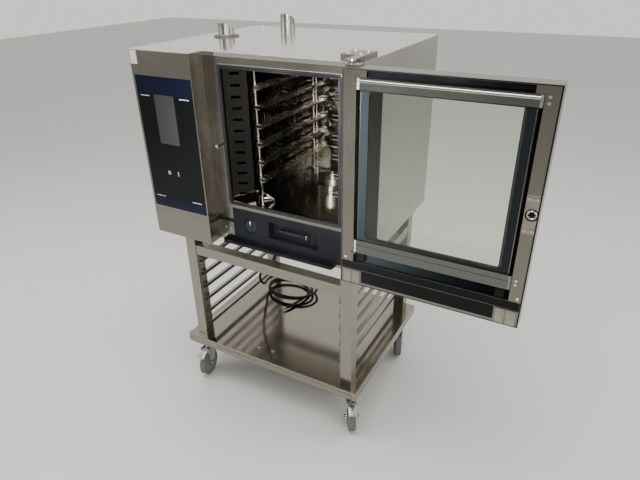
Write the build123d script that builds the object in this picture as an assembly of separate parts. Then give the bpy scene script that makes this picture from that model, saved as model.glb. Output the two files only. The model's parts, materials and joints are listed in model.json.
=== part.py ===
from build123d import *
import math
import os

# Combi steamer oven on a wheeled stand, with its door swung fully open.
# Working axes, mm: x to the right and y to the back, seen from the front, z up.
# x = 0 is the oven's left side and y = 0 its control panel's front.
# Oven pieces have z = 0 at the oven's underside, stand pieces at the floor.

# ---- oven body ----
OVEN_W = 867.0
OVEN_D = 775.0
OVEN_H = 708.0
SHEET = 2.0
STAND_H = 805.0            # floor to the oven's underside
FACE_Y = 65.0              # the door's side of the face sits this far behind the panel
BASE_RIM = 26.0
TOP_LIP = 12.0

# ---- control housing, left of the door ----
PANEL_W = 272.0
PANEL_T = 6.0
STEP_Z = 115.0             # below this the housing's side wall is set in
STEP_IN = 8.0
GLASS_MARGIN = 10.5
GLASS_Z0 = 121.0
GLASS_TOP = 87.0           # oven's top down to the control glass
GLASS_T = 6.0
GLASS_SEAT = 9.0           # width of the ledge behind the control glass
SLIP = 0.3                 # clearance round a panel that drops into a pocket
SCREEN_W = 92.0
SCREEN_H = 178.0

# ---- cavity ----
OPEN_RIGHT = 66.0
OPEN_BOTTOM = 161.0
OPEN_TOP_RAIL = 40.0
GASKET_W = 12.0
GASKET_GAP = 0.4           # squeeze left between gasket and closed door
LINER_WALL = 2.0
LINER_SIDE = 4.0           # liner inner wall outside the opening
FLOOR_DROP = 11.0          # cavity floor below the opening's edge
REAR_SPACE = 85.0          # liner's rear wall to the oven's back
INSULATION = 24.0
DRAIN_R = 30.0
DRAIN_RIGHT = 15.0         # drain's axis right of the racks' middle
FAN_BACK = 278.0           # fan axis behind the liner's front
FAN_UP = 268.0             # fan axis above the cavity floor
FAN_R = 140.0
FAN_SPACE = 65.0           # liner wall to the suction panel
SHAFT_R = 8.0
RUN_FIT = 0.1              # radial clearance of a pin or shaft in its bore
HEATER_R = 158.0
HEATER_TUBE_R = 4.0
HEATER_LEAD_R = 3.2
BOILER_R = 85.0
BOILER_H = 380.0
BOILER_Z0 = 40.0
BOILER_WALL = 3.0
STEAM_PIPE_R = 12.0
STRAINER_R = 86.0
STRAINER_H = 44.0
STRAP_UNDER_TRAY = 8.0     # strap handle's top below the lowest runner

# ---- tray racks ----
TRAY_LEVELS = 6
TRAY_PITCH = 68.5
FIRST_LEVEL = 90.0         # first runner above the cavity floor
TRAY_SPACE = 335.0         # between the runners' backs
RUNNER_DEPTH = 24.0
RUNNER_MOUTH = 12.0
RUNNER_WALL = 2.0
RUNNER_IN = 83.0           # runners' front ends behind the liner's front
RUNNER_OFF_REAR = 30.0
POST_R = 5.0

# ---- lower face ----
FASCIA_LEFT = 10.0         # inside the opening's left edge
FASCIA_Z0 = 14.0
FASCIA_Z1 = 145.0
FASCIA_PROUD = 3.0
POCKET_IN = 161.0          # pocket and knob, from the fascia's left edge
POCKET_W = 206.0
POCKET_Z0 = 52.0
POCKET_H = 68.0
POCKET_DEPTH = 44.0
KNOB_IN = 78.0
KNOB_Z = 83.0
KNOB_R = 26.0
GUTTER_OUT = 25.0
GUTTER_H = 13.0

# ---- door ----
DOOR_LEFT_GAP = 36.0       # closed door to the control housing
DOOR_RIGHT_GAP = 4.0
DOOR_T = 61.0
DOOR_Z0 = 45.0
DOOR_ABOVE = 9.0           # door's top above the oven's top
DOOR_GAP = 7.0             # closed door to the oven's face
PIVOT_OUT = 1.0            # hinge axis outside the door's corner
OUTER_GLASS_T = 5.0
STILE = 42.0
DOOR_SILL = 83.0           # window's lower edge above the door's bottom
DOOR_HEAD = 23.0
SLOT_IN = 72.0
RAIL_TOP_H = 32.0
RAIL_BOTTOM_H = 44.0
RAIL_T = 15.0
PANE_T = 5.0
PANE_IN = 10.0
GLASS_SWING_GAP = 1.5
GLASS_PIVOT_IN = 2.5       # hinge axis inside the rails' corner
GLASS_PIN_R = 2.0
LUG_T = 4.0
LUG_GAP = 0.5
GUIDE_PIN_R = 5.5
LATCH_WALL = 5.0           # rotor to the door's free edge
LATCH_Z = 393.0
STRIKE_R = 4.5
STRIKE_GAP = 0.5           # strike pin to the door gasket
ROTOR_SPACE = 4.0          # rotor to the window's lip
ROTOR_R = 13.0
ROTOR_WALL = 3.5
HANDLE_LENGTH = 190.0
HANDLE_OUT = 60.0
EAR_T = 4.0
HINGE_PIN_R = 5.0
EYE_R = 11.0

# ---- vents ----
FRONT_VENT_X = 118.0
FRONT_VENT_BACK = 370.0    # vent axis to the oven's back
FRONT_VENT_H = 52.0
REAR_VENT_X = 206.0
REAR_VENT_BACK = 50.0
REAR_VENT_H = 62.0
VENT_BELOW = 60.0          # pipe under the top panel
VENT_R = 31.0
VENT_SLANT = 35.0          # drop of the mouth from its front to its back
COLLAR_R = 49.0
COLLAR_H = 5.0

# ---- stand ----
SHELF_LEFT_IN = 3.0        # shelf inside the oven's outline
SHELF_RIGHT_IN = 1.0
SHELF_FRONT_IN = 4.0
SHELF_REAR_IN = 9.0
SHELF_TOP = 235.5
SHELF_EDGE = 42.0
LEG = 50.0
LEG_IN = 35.5              # leg to the shelf's side edge
LEG_BACK = 30.0            # leg to the shelf's front edge
REAR_LEG_BACK = 25.0
TUBE_WALL = 2.0
RAIL = 45.0
RAIL_DROP = 98.0           # rail's top below the oven
LADDER_LEVELS = 6
LADDER_PITCH = 66.6
LADDER_FIRST = 61.5        # first runner above the shelf
LADDER_T = 3.0
STAND_RUNNER_H = 16.0
STAND_RUNNER_W = 14.0

# ---- castors ----
WHEEL_R = 62.5
WHEEL_W = 30.0
TRAIL = 38.0
CASTOR_IN = 57.0           # swivel axis from the shelf's side edge
CASTOR_FRONT = 74.0
FORK_GAP = 3.0
FORK_T = 3.5
AXLE_R = 6.0
FORK_OVER_WHEEL = 21.0     # wheel's top to the fork's top
PEDAL_X = 56.0
PEDAL_DROP = 3.0           # pedal pin below the fork's top
PEDAL_PIN_R = 3.0
CASTOR_TURNS = {"front_left": -80.0, "front_right": -58.0, "rear_left": -72.0, "rear_right": -64.0}

# ---- power cord ----
CORD_R = 6.5
GLAND_X = 395.0
GLAND_Y = 262.0
GLAND_R = 14.0
GLAND_LENGTH = 38.0
COIL_X = 247.0
COIL_Y = 590.0
COIL_HALF_W = 155.0
COIL_HALF_D = 118.0
COIL_BAND = 44.0
COIL_H = 40.0

# ---- worked out from the sizes above ----
DOOR_W = OVEN_W - PANEL_W - DOOR_LEFT_GAP - DOOR_RIGHT_GAP
LATCH_S = DOOR_W - ROTOR_R - LATCH_WALL
STRIKE_X = OVEN_W - DOOR_RIGHT_GAP - LATCH_S
OPEN_X0 = STRIKE_X + STRIKE_R + STRIKE_GAP
GLASS_Z1 = OVEN_H - GLASS_TOP
OPEN_X1 = OVEN_W - OPEN_RIGHT
OPEN_Z0 = OPEN_BOTTOM
OPEN_Z1 = OVEN_H - OPEN_TOP_RAIL
LINER_X0 = OPEN_X0 + LINER_SIDE
LINER_X1 = OPEN_X1 - LINER_SIDE
LINER_Y0 = FACE_Y + SHEET
LINER_Y1 = OVEN_D - REAR_SPACE
LINER_Z0 = OPEN_Z0 - FLOOR_DROP
LINER_Z1 = OPEN_Z1 + LINER_WALL
INSULATION_X0 = LINER_X0 - LINER_WALL - INSULATION
FAN_Y = LINER_Y0 + FAN_BACK
FAN_Z = LINER_Z0 + FAN_UP
SUCTION_X = LINER_X0 + FAN_SPACE
RUNNER_X0 = SUCTION_X + SHEET + 2 * POST_R
RUNNER_X1 = RUNNER_X0 + TRAY_SPACE
RUNNER_FRONT = LINER_Y0 + RUNNER_IN
RUNNER_REAR = LINER_Y1 - RUNNER_OFF_REAR
DRAIN_X = (RUNNER_X0 + RUNNER_X1) / 2 + DRAIN_RIGHT
DRAIN_Y = (LINER_Y0 + LINER_Y1) / 2 + 10
FASCIA_X0 = OPEN_X0 + FASCIA_LEFT
POCKET_X0 = FASCIA_X0 + POCKET_IN
KNOB_X = FASCIA_X0 + KNOB_IN
FRONT_VENT = (FRONT_VENT_X, OVEN_D - FRONT_VENT_BACK, FRONT_VENT_H)
REAR_VENT = (REAR_VENT_X, OVEN_D - REAR_VENT_BACK, REAR_VENT_H)

DOOR_Z1 = OVEN_H + DOOR_ABOVE
CLOSED_OUT_Y = FACE_Y - DOOR_GAP - DOOR_T
PIVOT_X = OVEN_W - DOOR_RIGHT_GAP + PIVOT_OUT
PIVOT_Y = CLOSED_OUT_Y - PIVOT_OUT
DOOR_X0 = PIVOT_X + PIVOT_OUT
DOOR_OUT_Y = PIVOT_Y - PIVOT_OUT
WINDOW_Z0 = DOOR_Z0 + DOOR_SILL
WINDOW_Z1 = DOOR_Z1 - DOOR_HEAD
WINDOW_S1 = LATCH_S - ROTOR_R - ROTOR_SPACE - SHEET
BOTTOM_RAIL_Z0 = WINDOW_Z0 + 34
GLASS_S0 = STILE + GLASS_SWING_GAP
GLASS_S1 = WINDOW_S1 - GLASS_SWING_GAP
ARM_Z = DOOR_Z1 + EAR_T + 1

SHELF_X0 = SHELF_LEFT_IN
SHELF_X1 = OVEN_W - SHELF_RIGHT_IN
SHELF_Y0 = FACE_Y + SHELF_FRONT_IN
SHELF_Y1 = OVEN_D - SHELF_REAR_IN
LEFT_LEG_X = SHELF_X0 + LEG_IN
RIGHT_LEG_X = SHELF_X1 - LEG_IN - LEG
FRONT_LEG_Y = SHELF_Y0 + LEG_BACK
REAR_LEG_Y = SHELF_Y1 - REAR_LEG_BACK - LEG
RAIL_Z1 = STAND_H - RAIL_DROP
RAIL_Z0 = RAIL_Z1 - RAIL
PLATE_Z = SHELF_TOP - SHELF_EDGE
FORK_TOP = 2 * WHEEL_R + FORK_OVER_WHEEL
PEDAL_Z = FORK_TOP - PEDAL_DROP

# The row's origin is on the floor under the middle of the whole object.
CENTRE_X = (DOOR_X0 + DOOR_W) / 2
CENTRE_Y = (DOOR_OUT_Y - DOOR_T - GUIDE_PIN_R + OVEN_D) / 2


# ---- shapes ----
def block(x0, x1, y0, y1, z0, z1):
    """A box between six planes."""
    centre = Pos((x0 + x1) / 2, (y0 + y1) / 2, (z0 + z1) / 2)
    return centre * Box(x1 - x0, y1 - y0, z1 - z0)


def plate(points, z0, z1):
    """A flat piece with an outline in x and y."""
    return Pos(0, 0, z0) * extrude(Polygon(*points, align=None), z1 - z0, dir=(0, 0, 1))


def rod_x(x0, x1, y, z, r):
    return Pos((x0 + x1) / 2, y, z) * Rot(0, 90, 0) * Cylinder(r, x1 - x0)


def rod_y(y0, y1, x, z, r):
    return Pos(x, (y0 + y1) / 2, z) * Rot(90, 0, 0) * Cylinder(r, y1 - y0)


def rod_z(z0, z1, x, y, r):
    return Pos(x, y, (z0 + z1) / 2) * Cylinder(r, z1 - z0)


def tube_block(x0, x1, y0, y1, z0, z1, axis, wall=TUBE_WALL):
    """A square tube, open at both ends, along x, y or z."""
    outer = block(x0, x1, y0, y1, z0, z1)
    ix, iy, iz = [0 if axis == name else wall for name in "xyz"]
    return outer - block(x0 + ix, x1 - ix, y0 + iy, y1 - iy, z0 + iz, z1 - iz)


def door_block(s0, s1, t0, t1, z0, z1):
    """A box on the open door: s from the hinge edge, t in from the outer face."""
    return block(DOOR_X0 + s0, DOOR_X0 + s1, DOOR_OUT_Y - t1, DOOR_OUT_Y - t0, z0, z1)


def door_rod(t0, t1, s, z, r):
    return rod_y(DOOR_OUT_Y - t1, DOOR_OUT_Y - t0, DOOR_X0 + s, z, r)


def join(pieces):
    """One solid, or several where they stand apart."""
    whole = pieces[0]
    for piece in pieces[1:]:
        whole = whole + piece
    return whole


def group(pieces):
    """Separate solids kept in one node."""
    solids = []
    for piece in pieces:
        solids.extend(piece.solids())
    return Compound(solids)


# ---- oven shell ----
def base_outline(inset):
    """The base's L shape: the housing's foot reaches further forward."""
    left = SHEET + inset
    return [
        (left, PANEL_T + inset),
        (PANEL_W - STEP_IN - SHEET - inset, PANEL_T + inset),
        (PANEL_W - STEP_IN - SHEET - inset, LINER_Y0 + inset),
        (OVEN_W - SHEET - inset, LINER_Y0 + inset),
        (OVEN_W - SHEET - inset, OVEN_D - SHEET - inset),
        (left, OVEN_D - SHEET - inset),
    ]


def base_tray():
    tray = plate(base_outline(0), 0, BASE_RIM) - plate(base_outline(SHEET), SHEET, BASE_RIM + 1)
    tray = tray - rod_z(-1, SHEET + 1, DRAIN_X, DRAIN_Y, DRAIN_R + 4)
    return tray - rod_z(-1, SHEET + 1, GLAND_X, GLAND_Y, GLAND_R - 4)


def top_panel():
    sheet = block(0, PANEL_W, 0, OVEN_D, OVEN_H - SHEET, OVEN_H)
    sheet = sheet + block(PANEL_W, OVEN_W, FACE_Y - SHEET, OVEN_D, OVEN_H - SHEET, OVEN_H)
    lip_z = OVEN_H - SHEET
    sheet = sheet + block(PANEL_W, OVEN_W, FACE_Y - SHEET, FACE_Y, lip_z - TOP_LIP, lip_z)
    for x, y, _ in (FRONT_VENT, REAR_VENT):
        sheet = sheet - rod_z(OVEN_H - 10, OVEN_H + 1, x, y, VENT_R + SLIP)
    return sheet


def side_panel(x0, y0):
    return block(x0, x0 + SHEET, y0, OVEN_D, 0, OVEN_H - SHEET)


def left_side_panel():
    panel = side_panel(0, PANEL_T)
    for row in range(9):
        z = 60 + row * 14
        panel = panel - block(-1, SHEET + 1, OVEN_D - 230, OVEN_D - 90, z, z + 5)
    return panel


def rear_panel():
    panel = block(SHEET, OVEN_W - SHEET, OVEN_D - SHEET, OVEN_D, 0, OVEN_H - SHEET)
    for column in range(2):
        for row in range(10):
            x = 60 + column * 110
            z = 420 + row * 16
            panel = panel - block(x, x + 80, OVEN_D - SHEET - 1, OVEN_D + 1, z, z + 6)
    return panel


def front_frame():
    face_x0 = PANEL_W - STEP_IN - SHEET
    face = block(face_x0, OVEN_W - SHEET, FACE_Y, FACE_Y + SHEET, 0, OVEN_H - SHEET)
    face = face - block(OPEN_X0, OPEN_X1, FACE_Y - 1, LINER_Y0 + 1, OPEN_Z0, OPEN_Z1)
    return face - block(FASCIA_X0 + 4, OPEN_X1 - 4, FACE_Y - 1, LINER_Y0 + 1, FASCIA_Z0 + 6, FASCIA_Z1 - 5)


def control_housing():
    top = OVEN_H - SHEET
    front = block(0, PANEL_W, 0, PANEL_T, 0, top)
    glass_x1 = PANEL_W - GLASS_MARGIN + 4
    front = front - block(GLASS_MARGIN, glass_x1, -1, PANEL_T - 1, GLASS_Z0, GLASS_Z1)
    front = front - block(GLASS_MARGIN + GLASS_SEAT, glass_x1 - GLASS_SEAT, -1, PANEL_T + 1,
                          GLASS_Z0 + GLASS_SEAT, GLASS_Z1 - GLASS_SEAT)
    upper = block(PANEL_W - SHEET, PANEL_W, PANEL_T, FACE_Y - SHEET, STEP_Z, top)
    upper = upper + block(PANEL_W - SHEET, PANEL_W, FACE_Y - SHEET - 1, FACE_Y, STEP_Z, top - TOP_LIP)
    wall_x1 = PANEL_W - STEP_IN
    lower = block(wall_x1 - SHEET, wall_x1, PANEL_T, FACE_Y, 0, STEP_Z)
    ledge = block(wall_x1 - SHEET, PANEL_W, PANEL_T, FACE_Y, STEP_Z - SHEET, STEP_Z)
    return join([front, upper, lower, ledge])


def control_glass():
    x0 = GLASS_MARGIN + SLIP
    x1 = PANEL_W - GLASS_MARGIN + 4 - SLIP
    pane = block(x0, x1, PANEL_T - 1 - GLASS_T, PANEL_T - 1, GLASS_Z0 + SLIP, GLASS_Z1 - SLIP)
    return fillet(pane.edges().filter_by(Axis.Y), 4)


def touch_screen():
    x = PANEL_W / 2 - 8
    z1 = GLASS_Z1 - 62
    return block(x - SCREEN_W / 2, x + SCREEN_W / 2, PANEL_T - 1, PANEL_T + 5, z1 - SCREEN_H, z1)


def control_board():
    board_y = 40
    x0 = GLASS_MARGIN + 3
    x1 = PANEL_W - GLASS_MARGIN - 4
    pieces = [block(x0, x1, board_y, board_y + 2, GLASS_Z0 - 10, GLASS_Z1 - 120)]
    for x in (x0 + 3, x1 - 3):
        for z in (GLASS_Z0 - 5, GLASS_Z1 - 126):
            pieces.append(rod_y(PANEL_T, board_y, x, z, 2.5))
    for index in range(4):
        z = GLASS_Z0 + 20 + index * 85
        pieces.append(block(60, 110, board_y + 2, board_y + 12, z, z + 40))
        pieces.append(block(140, 200, board_y + 2, board_y + 16, z + 10, z + 55))
    return join(pieces)


# ---- cavity ----
def cavity_liner():
    wall = LINER_WALL
    y0 = LINER_Y0 + wall
    shell = block(LINER_X0 - wall, LINER_X1 + wall, LINER_Y0, LINER_Y1 + wall, LINER_Z0 - wall, LINER_Z1 + wall)
    shell = shell + block(OPEN_X0 - 6, OPEN_X1 + 6, LINER_Y0, y0, LINER_Z0 - 6, LINER_Z1 + 6)
    shell = shell - block(LINER_X0, LINER_X1, y0, LINER_Y1, LINER_Z0, LINER_Z1)
    shell = shell - block(OPEN_X0 + GASKET_W, OPEN_X1 - GASKET_W, LINER_Y0 - 1, y0 + 1,
                          OPEN_Z0 + GASKET_W, OPEN_Z1 - GASKET_W)
    shell = shell - rod_x(LINER_X0 - 10, LINER_X0 + 1, FAN_Y, FAN_Z, SHAFT_R + 4)
    neck = rod_z(SHEET, LINER_Z0 - wall, DRAIN_X, DRAIN_Y, DRAIN_R + wall)
    shell = shell + neck
    return shell - rod_z(-1, LINER_Z0 + 1, DRAIN_X, DRAIN_Y, DRAIN_R)


def insulation():
    wall = LINER_WALL
    y0 = LINER_Y0 + wall
    blanket = block(INSULATION_X0, LINER_X1 + wall + INSULATION, y0, LINER_Y1 + wall + INSULATION,
                    LINER_Z0 - wall - INSULATION, LINER_Z1 + wall + INSULATION)
    blanket = blanket - block(LINER_X0 - wall, LINER_X1 + wall, y0 - 1, LINER_Y1 + wall,
                              LINER_Z0 - wall, LINER_Z1 + wall)
    blanket = blanket - rod_x(INSULATION_X0 - 1, LINER_X0, FAN_Y, FAN_Z, SHAFT_R + 4)
    return blanket - rod_z(0, LINER_Z0, DRAIN_X, DRAIN_Y, DRAIN_R + wall + SLIP)


def door_gasket():
    y0 = FACE_Y - DOOR_GAP + GASKET_GAP
    ring = block(OPEN_X0, OPEN_X1, y0, LINER_Y0, OPEN_Z0, OPEN_Z1)
    ring = ring - block(OPEN_X0 + GASKET_W, OPEN_X1 - GASKET_W, y0 - 1, LINER_Y0 + 1,
                        OPEN_Z0 + GASKET_W, OPEN_Z1 - GASKET_W)
    return ring


def guard_cutter():
    """Concentric slots in the fan guard, broken by six spokes."""
    slots = None
    for index in range(8):
        inner = 26 + index * 16
        ring = rod_x(SUCTION_X - 1, SUCTION_X + SHEET + 1, FAN_Y, FAN_Z, inner + 9)
        ring = ring - rod_x(SUCTION_X - 2, SUCTION_X + SHEET + 2, FAN_Y, FAN_Z, inner)
        slots = ring if slots is None else slots + ring
    for spoke in range(3):
        bar = Box(SHEET + 6, 2 * 160, 7)
        slots = slots - Pos(SUCTION_X + 1, FAN_Y, FAN_Z) * Rot(90 + spoke * 60, 0, 0) * bar
    return slots


def suction_panel():
    """The wall between cavity and fan, with the fan guard and a slanted front."""
    front_y = LINER_Y0 + 63
    z1 = LINER_Z1 - 2
    wall = block(SUCTION_X, SUCTION_X + SHEET, front_y, LINER_Y1, LINER_Z0, z1)
    wall = wall - guard_cutter()
    slant = plate([(SUCTION_X, front_y + 2), (SUCTION_X + SHEET, front_y), (LINER_X0 + 2, LINER_Y0 + 16),
                   (LINER_X0, LINER_Y0 + 16), (LINER_X0, LINER_Y0 + 19)], LINER_Z0, z1)
    middle_x = (SUCTION_X + LINER_X0) / 2
    middle_y = (front_y + LINER_Y0 + 17) / 2
    for row in range(12):
        z = LINER_Z0 + 44 + row * 40
        slot = Pos(middle_x, middle_y, z) * Rot(0, 0, 36) * Box(34, 30, 9)
        slant = slant - slot
    return wall + slant


def fan_wheel():
    back_x = LINER_X0 + 10
    pieces = [rod_x(back_x, back_x + 2, FAN_Y, FAN_Z, FAN_R)]
    pieces.append(rod_x(back_x + 2, back_x + 26, FAN_Y, FAN_Z, 24))
    pieces.append(rod_x(INSULATION_X0 - 60, back_x + 36, FAN_Y, FAN_Z, SHAFT_R))
    pieces.append(rod_x(back_x + 26, back_x + 34, FAN_Y, FAN_Z, 13))
    rim = rod_x(back_x + 40, back_x + 42, FAN_Y, FAN_Z, FAN_R)
    pieces.append(rim - rod_x(back_x + 39, back_x + 43, FAN_Y, FAN_Z, FAN_R - 24))
    for index in range(24):
        turn = Pos(back_x + 21, FAN_Y, FAN_Z) * Rot(index * 15, 0, 0)
        pieces.append(turn * Pos(0, FAN_R - 20, 0) * Rot(28, 0, 0) * Box(38.5, 30, 2))
    return join(pieces)


def fan_motor():
    x1 = INSULATION_X0
    pieces = [rod_x(x1 - 4, x1, FAN_Y, FAN_Z, 84), rod_x(x1 - 124, x1 - 4, FAN_Y, FAN_Z, 62)]
    for index in range(13):
        x = x1 - 118 + index * 8.5
        pieces.append(rod_x(x, x + 3, FAN_Y, FAN_Z, 68))
    motor = join(pieces)
    return motor - rod_x(x1 - 64, x1 + 1, FAN_Y, FAN_Z, SHAFT_R + RUN_FIT)


def heating_element():
    pieces = []
    for index in range(3):
        centre = Pos(LINER_X0 + 18 + index * 12, FAN_Y, FAN_Z) * Rot(0, 90, 0)
        pieces.append(centre * Torus(HEATER_R, HEATER_TUBE_R))
    for side in (-1, 1):
        angle = math.radians(-90 + side * 12)
        y = FAN_Y + HEATER_R * math.cos(angle)
        z = FAN_Z + HEATER_R * math.sin(angle)
        pieces.append(rod_x(LINER_X0, LINER_X0 + 42, y, z, HEATER_LEAD_R))
    return join(pieces)


def boiler():
    """The steam boiler: a flanged shell on three feet, with a steam pipe to the liner's side."""
    x, y = PANEL_W / 2 - 14, OVEN_D - 190
    z0, z1 = BOILER_Z0, BOILER_Z0 + BOILER_H
    pipe_z = z1 + 80
    pieces = [rod_z(z0, z1, x, y, BOILER_R)]
    pieces += [rod_z(z, z + 8, x, y, BOILER_R + 9) for z in (z0, z1 - 8)]
    for index in range(3):
        angle = math.radians(30 + index * 120)
        foot_x = x + (BOILER_R - 7) * math.cos(angle)
        foot_y = y + (BOILER_R - 7) * math.sin(angle)
        pieces.append(rod_z(SHEET, z0, foot_x, foot_y, 6))
    pieces.append(rod_z(z1, pipe_z + STEAM_PIPE_R, x, y, STEAM_PIPE_R))
    pieces.append(rod_x(x, INSULATION_X0, y, pipe_z, STEAM_PIPE_R))
    bore = STEAM_PIPE_R - BOILER_WALL
    hollow = [rod_z(z0 + BOILER_WALL, z1 - BOILER_WALL, x, y, BOILER_R - BOILER_WALL)]
    hollow.append(rod_z(z1 - 10, pipe_z + bore, x, y, bore))
    hollow.append(rod_x(x, INSULATION_X0 + 1, y, pipe_z, bore))
    return join(pieces) - join(hollow)


def runner_levels():
    return [LINER_Z0 + FIRST_LEVEL + level * TRAY_PITCH for level in range(TRAY_LEVELS)]


def rack_runner(side, z):
    """A channel, open towards the trays; side is +1 on the left rack."""
    back = RUNNER_X0 if side > 0 else RUNNER_X1
    near = back + side * RUNNER_DEPTH
    web = back + side * RUNNER_WALL
    x0, x1 = sorted((back, near))
    half = RUNNER_MOUTH / 2 + RUNNER_WALL
    body = block(x0, x1, RUNNER_FRONT, RUNNER_REAR, z - half, z + half)
    x0, x1 = sorted((web, near + side))
    return body - block(x0, x1, RUNNER_FRONT - 1, RUNNER_REAR + 1, z - RUNNER_MOUTH / 2, z + RUNNER_MOUTH / 2)


def rack_posts(side):
    back = RUNNER_X0 if side > 0 else RUNNER_X1
    x = back - side * POST_R
    top = runner_levels()[-1] + 74
    posts = []
    for y in (RUNNER_FRONT + 19, RUNNER_REAR - 75, RUNNER_REAR - 50):
        posts.append(rod_z(LINER_Z0, top, x, y, POST_R))
    return posts


def left_rack():
    pieces = rack_posts(1) + [rack_runner(1, z) for z in runner_levels()]
    x = RUNNER_X0 - POST_R
    stop_x = RUNNER_X0 + 78
    stop_y = RUNNER_REAR + POST_R + 4
    z0 = LINER_Z0 + 76
    z1 = runner_levels()[-1] + 30
    wire = 3.5
    corners = [(x, RUNNER_REAR - 50, z0), (x, stop_y, z0), (stop_x, stop_y, z0),
               (stop_x, stop_y, z1), (x, stop_y, z1), (x, RUNNER_REAR - 50, z1)]
    path = FilletPolyline(*corners, radius=8)
    stop = sweep(Plane(path @ 0, z_dir=path % 0) * Circle(wire), path)
    y = RUNNER_FRONT + 19
    foot = [(x, y, LINER_Z0 + 34), (x + 30, y - 6, LINER_Z0 + 26), (x + 52, y + 8, LINER_Z0 + 5),
            (x + 30, y + 22, LINER_Z0 + 5), (x + 2, y + 2, LINER_Z0 + 5)]
    loop = FilletPolyline(*foot, radius=5)
    clip = sweep(Plane(loop @ 0, z_dir=loop % 0) * Circle(wire), loop)
    return group(pieces + [stop.solid() - join(pieces), clip.solid() - join(pieces)])


def right_rack():
    return group(rack_posts(-1) + [rack_runner(-1, z) for z in runner_levels()])


def drain_strainer():
    """A lift-out perforated basket with a strap handle, over the floor drain."""
    r = STRAINER_R
    z0 = LINER_Z0
    cup = rod_z(z0, z0 + STRAINER_H, DRAIN_X, DRAIN_Y, r)
    cup = cup - rod_z(z0 + 3, z0 + STRAINER_H + 1, DRAIN_X, DRAIN_Y, r - 2)
    holes = []
    for row in range(3):
        for index in range(36):
            centre = Pos(DRAIN_X, DRAIN_Y, z0 + 12 + row * 11)
            turn = centre * Rot(0, 0, index * 10 + row * 5) * Pos(r, 0, 0) * Rot(0, 90, 0)
            holes.append(turn * Cylinder(2.8, 8))
    cup = cup - holes
    strap_z = z0 + FIRST_LEVEL - STRAP_UNDER_TRAY
    bow = block(DRAIN_X - r + 2, DRAIN_X + r - 2, DRAIN_Y - 9, DRAIN_Y + 9, z0 + 30, strap_z)
    bow = fillet(bow.edges().filter_by(Axis.Y).group_by(Axis.Z)[-1], 30)
    hollow = block(DRAIN_X - r + 4, DRAIN_X + r - 4, DRAIN_Y - 10, DRAIN_Y + 10, z0 + 29, strap_z - 2)
    hollow = fillet(hollow.edges().filter_by(Axis.Y).group_by(Axis.Z)[-1], 28)
    return cup + (bow - hollow)


# ---- lower face ----
def lower_fascia():
    front = block(FASCIA_X0, OPEN_X1, FACE_Y - FASCIA_PROUD, FACE_Y, FASCIA_Z0, FASCIA_Z1)
    pocket_x1 = POCKET_X0 + POCKET_W
    pocket_z1 = POCKET_Z0 + POCKET_H
    y1 = FACE_Y + POCKET_DEPTH
    front = front + block(POCKET_X0 - 2, pocket_x1 + 2, FACE_Y - 1, y1, POCKET_Z0 - 2, pocket_z1 + 2)
    front = front + rod_y(FACE_Y - 1, FACE_Y + 24, KNOB_X, KNOB_Z, KNOB_R + 7)
    front = front - block(POCKET_X0, pocket_x1, 0, y1 - 2, POCKET_Z0, pocket_z1)
    front = front - rod_y(0, FACE_Y + 22, KNOB_X, KNOB_Z, KNOB_R + 4)
    front = front - rod_y(0, FACE_Y + 30, KNOB_X, KNOB_Z, 4 + RUN_FIT)
    socket = rod_y(FACE_Y - FASCIA_PROUD - 1, FACE_Y, OPEN_X1 - 36, POCKET_Z0 + 4, 11)
    return front + socket - rod_y(0, FACE_Y - 2, OPEN_X1 - 36, POCKET_Z0 + 4, 6)


def selector_knob():
    """A round knob sunk in its cup, on a short spindle."""
    y0 = FACE_Y - FASCIA_PROUD
    knob = rod_y(y0 + 2, y0 + 18, KNOB_X, KNOB_Z, KNOB_R)
    grip = block(KNOB_X - 5, KNOB_X + 5, y0 - 1, y0 + 3, KNOB_Z - KNOB_R + 4, KNOB_Z + KNOB_R - 4)
    spindle = rod_y(y0 + 18, FACE_Y + 23, KNOB_X, KNOB_Z, 4)
    return join([knob, grip, spindle])


def service_drawer():
    """A shallow drawer with a bar handle; it slides out of the fascia's pocket."""
    x0, x1 = POCKET_X0 + 3, POCKET_X0 + POCKET_W - 3
    z0, z1 = POCKET_Z0 + 1, POCKET_Z0 + POCKET_H - 14
    front = block(x0, x1, FACE_Y + 22, FACE_Y + 26, z0, z1)
    tray = block(x0 + 4, x1 - 4, FACE_Y + 26, FACE_Y + POCKET_DEPTH - 3, z0, z0 + 24)
    bar_z = (z0 + z1) / 2 + 6
    bar = rod_x(x0 + 34, x0 + 138, FACE_Y + 9, bar_z, 9)
    knob = rod_x(x0 + 138, x0 + 150, FACE_Y + 9, bar_z, 11)
    legs = [block(x, x + 8, FACE_Y + 9, FACE_Y + 22, bar_z - 5, bar_z + 5) for x in (x0 + 44, x0 + 126)]
    return join([front, tray, bar, knob] + legs)


def drip_gutter():
    """The gutter under the fascia, and the black arm that turns in from the housing."""
    x0, x1 = PANEL_W + 24, OPEN_X1 - 26
    y0 = FACE_Y - GUTTER_OUT
    trough = block(x0, x1, y0, FACE_Y, 0, GUTTER_H)
    front_edges = trough.edges().filter_by(Axis.Z).group_by(Axis.Y)[0]
    trough = fillet(front_edges, 9)
    hollow = block(x0 + 3, x1 - 3, y0 + 3, FACE_Y - 3, 3, GUTTER_H + 1)
    trough = trough - fillet(hollow.edges().filter_by(Axis.Z).group_by(Axis.Y)[0], 7)
    arm_z = STEP_Z - 15
    wall_x = PANEL_W - STEP_IN
    arm = block(wall_x, wall_x + 9, 16, FACE_Y - 3, arm_z - 16, arm_z - 6)
    arm = arm + block(wall_x, FASCIA_X0 - 1, FACE_Y - 4, FACE_Y, arm_z - 16, arm_z - 4)
    arm = arm + block(wall_x, wall_x + 9, FACE_Y - 12, FACE_Y, arm_z - 16, arm_z - 4)
    return group([trough, arm])


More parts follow.
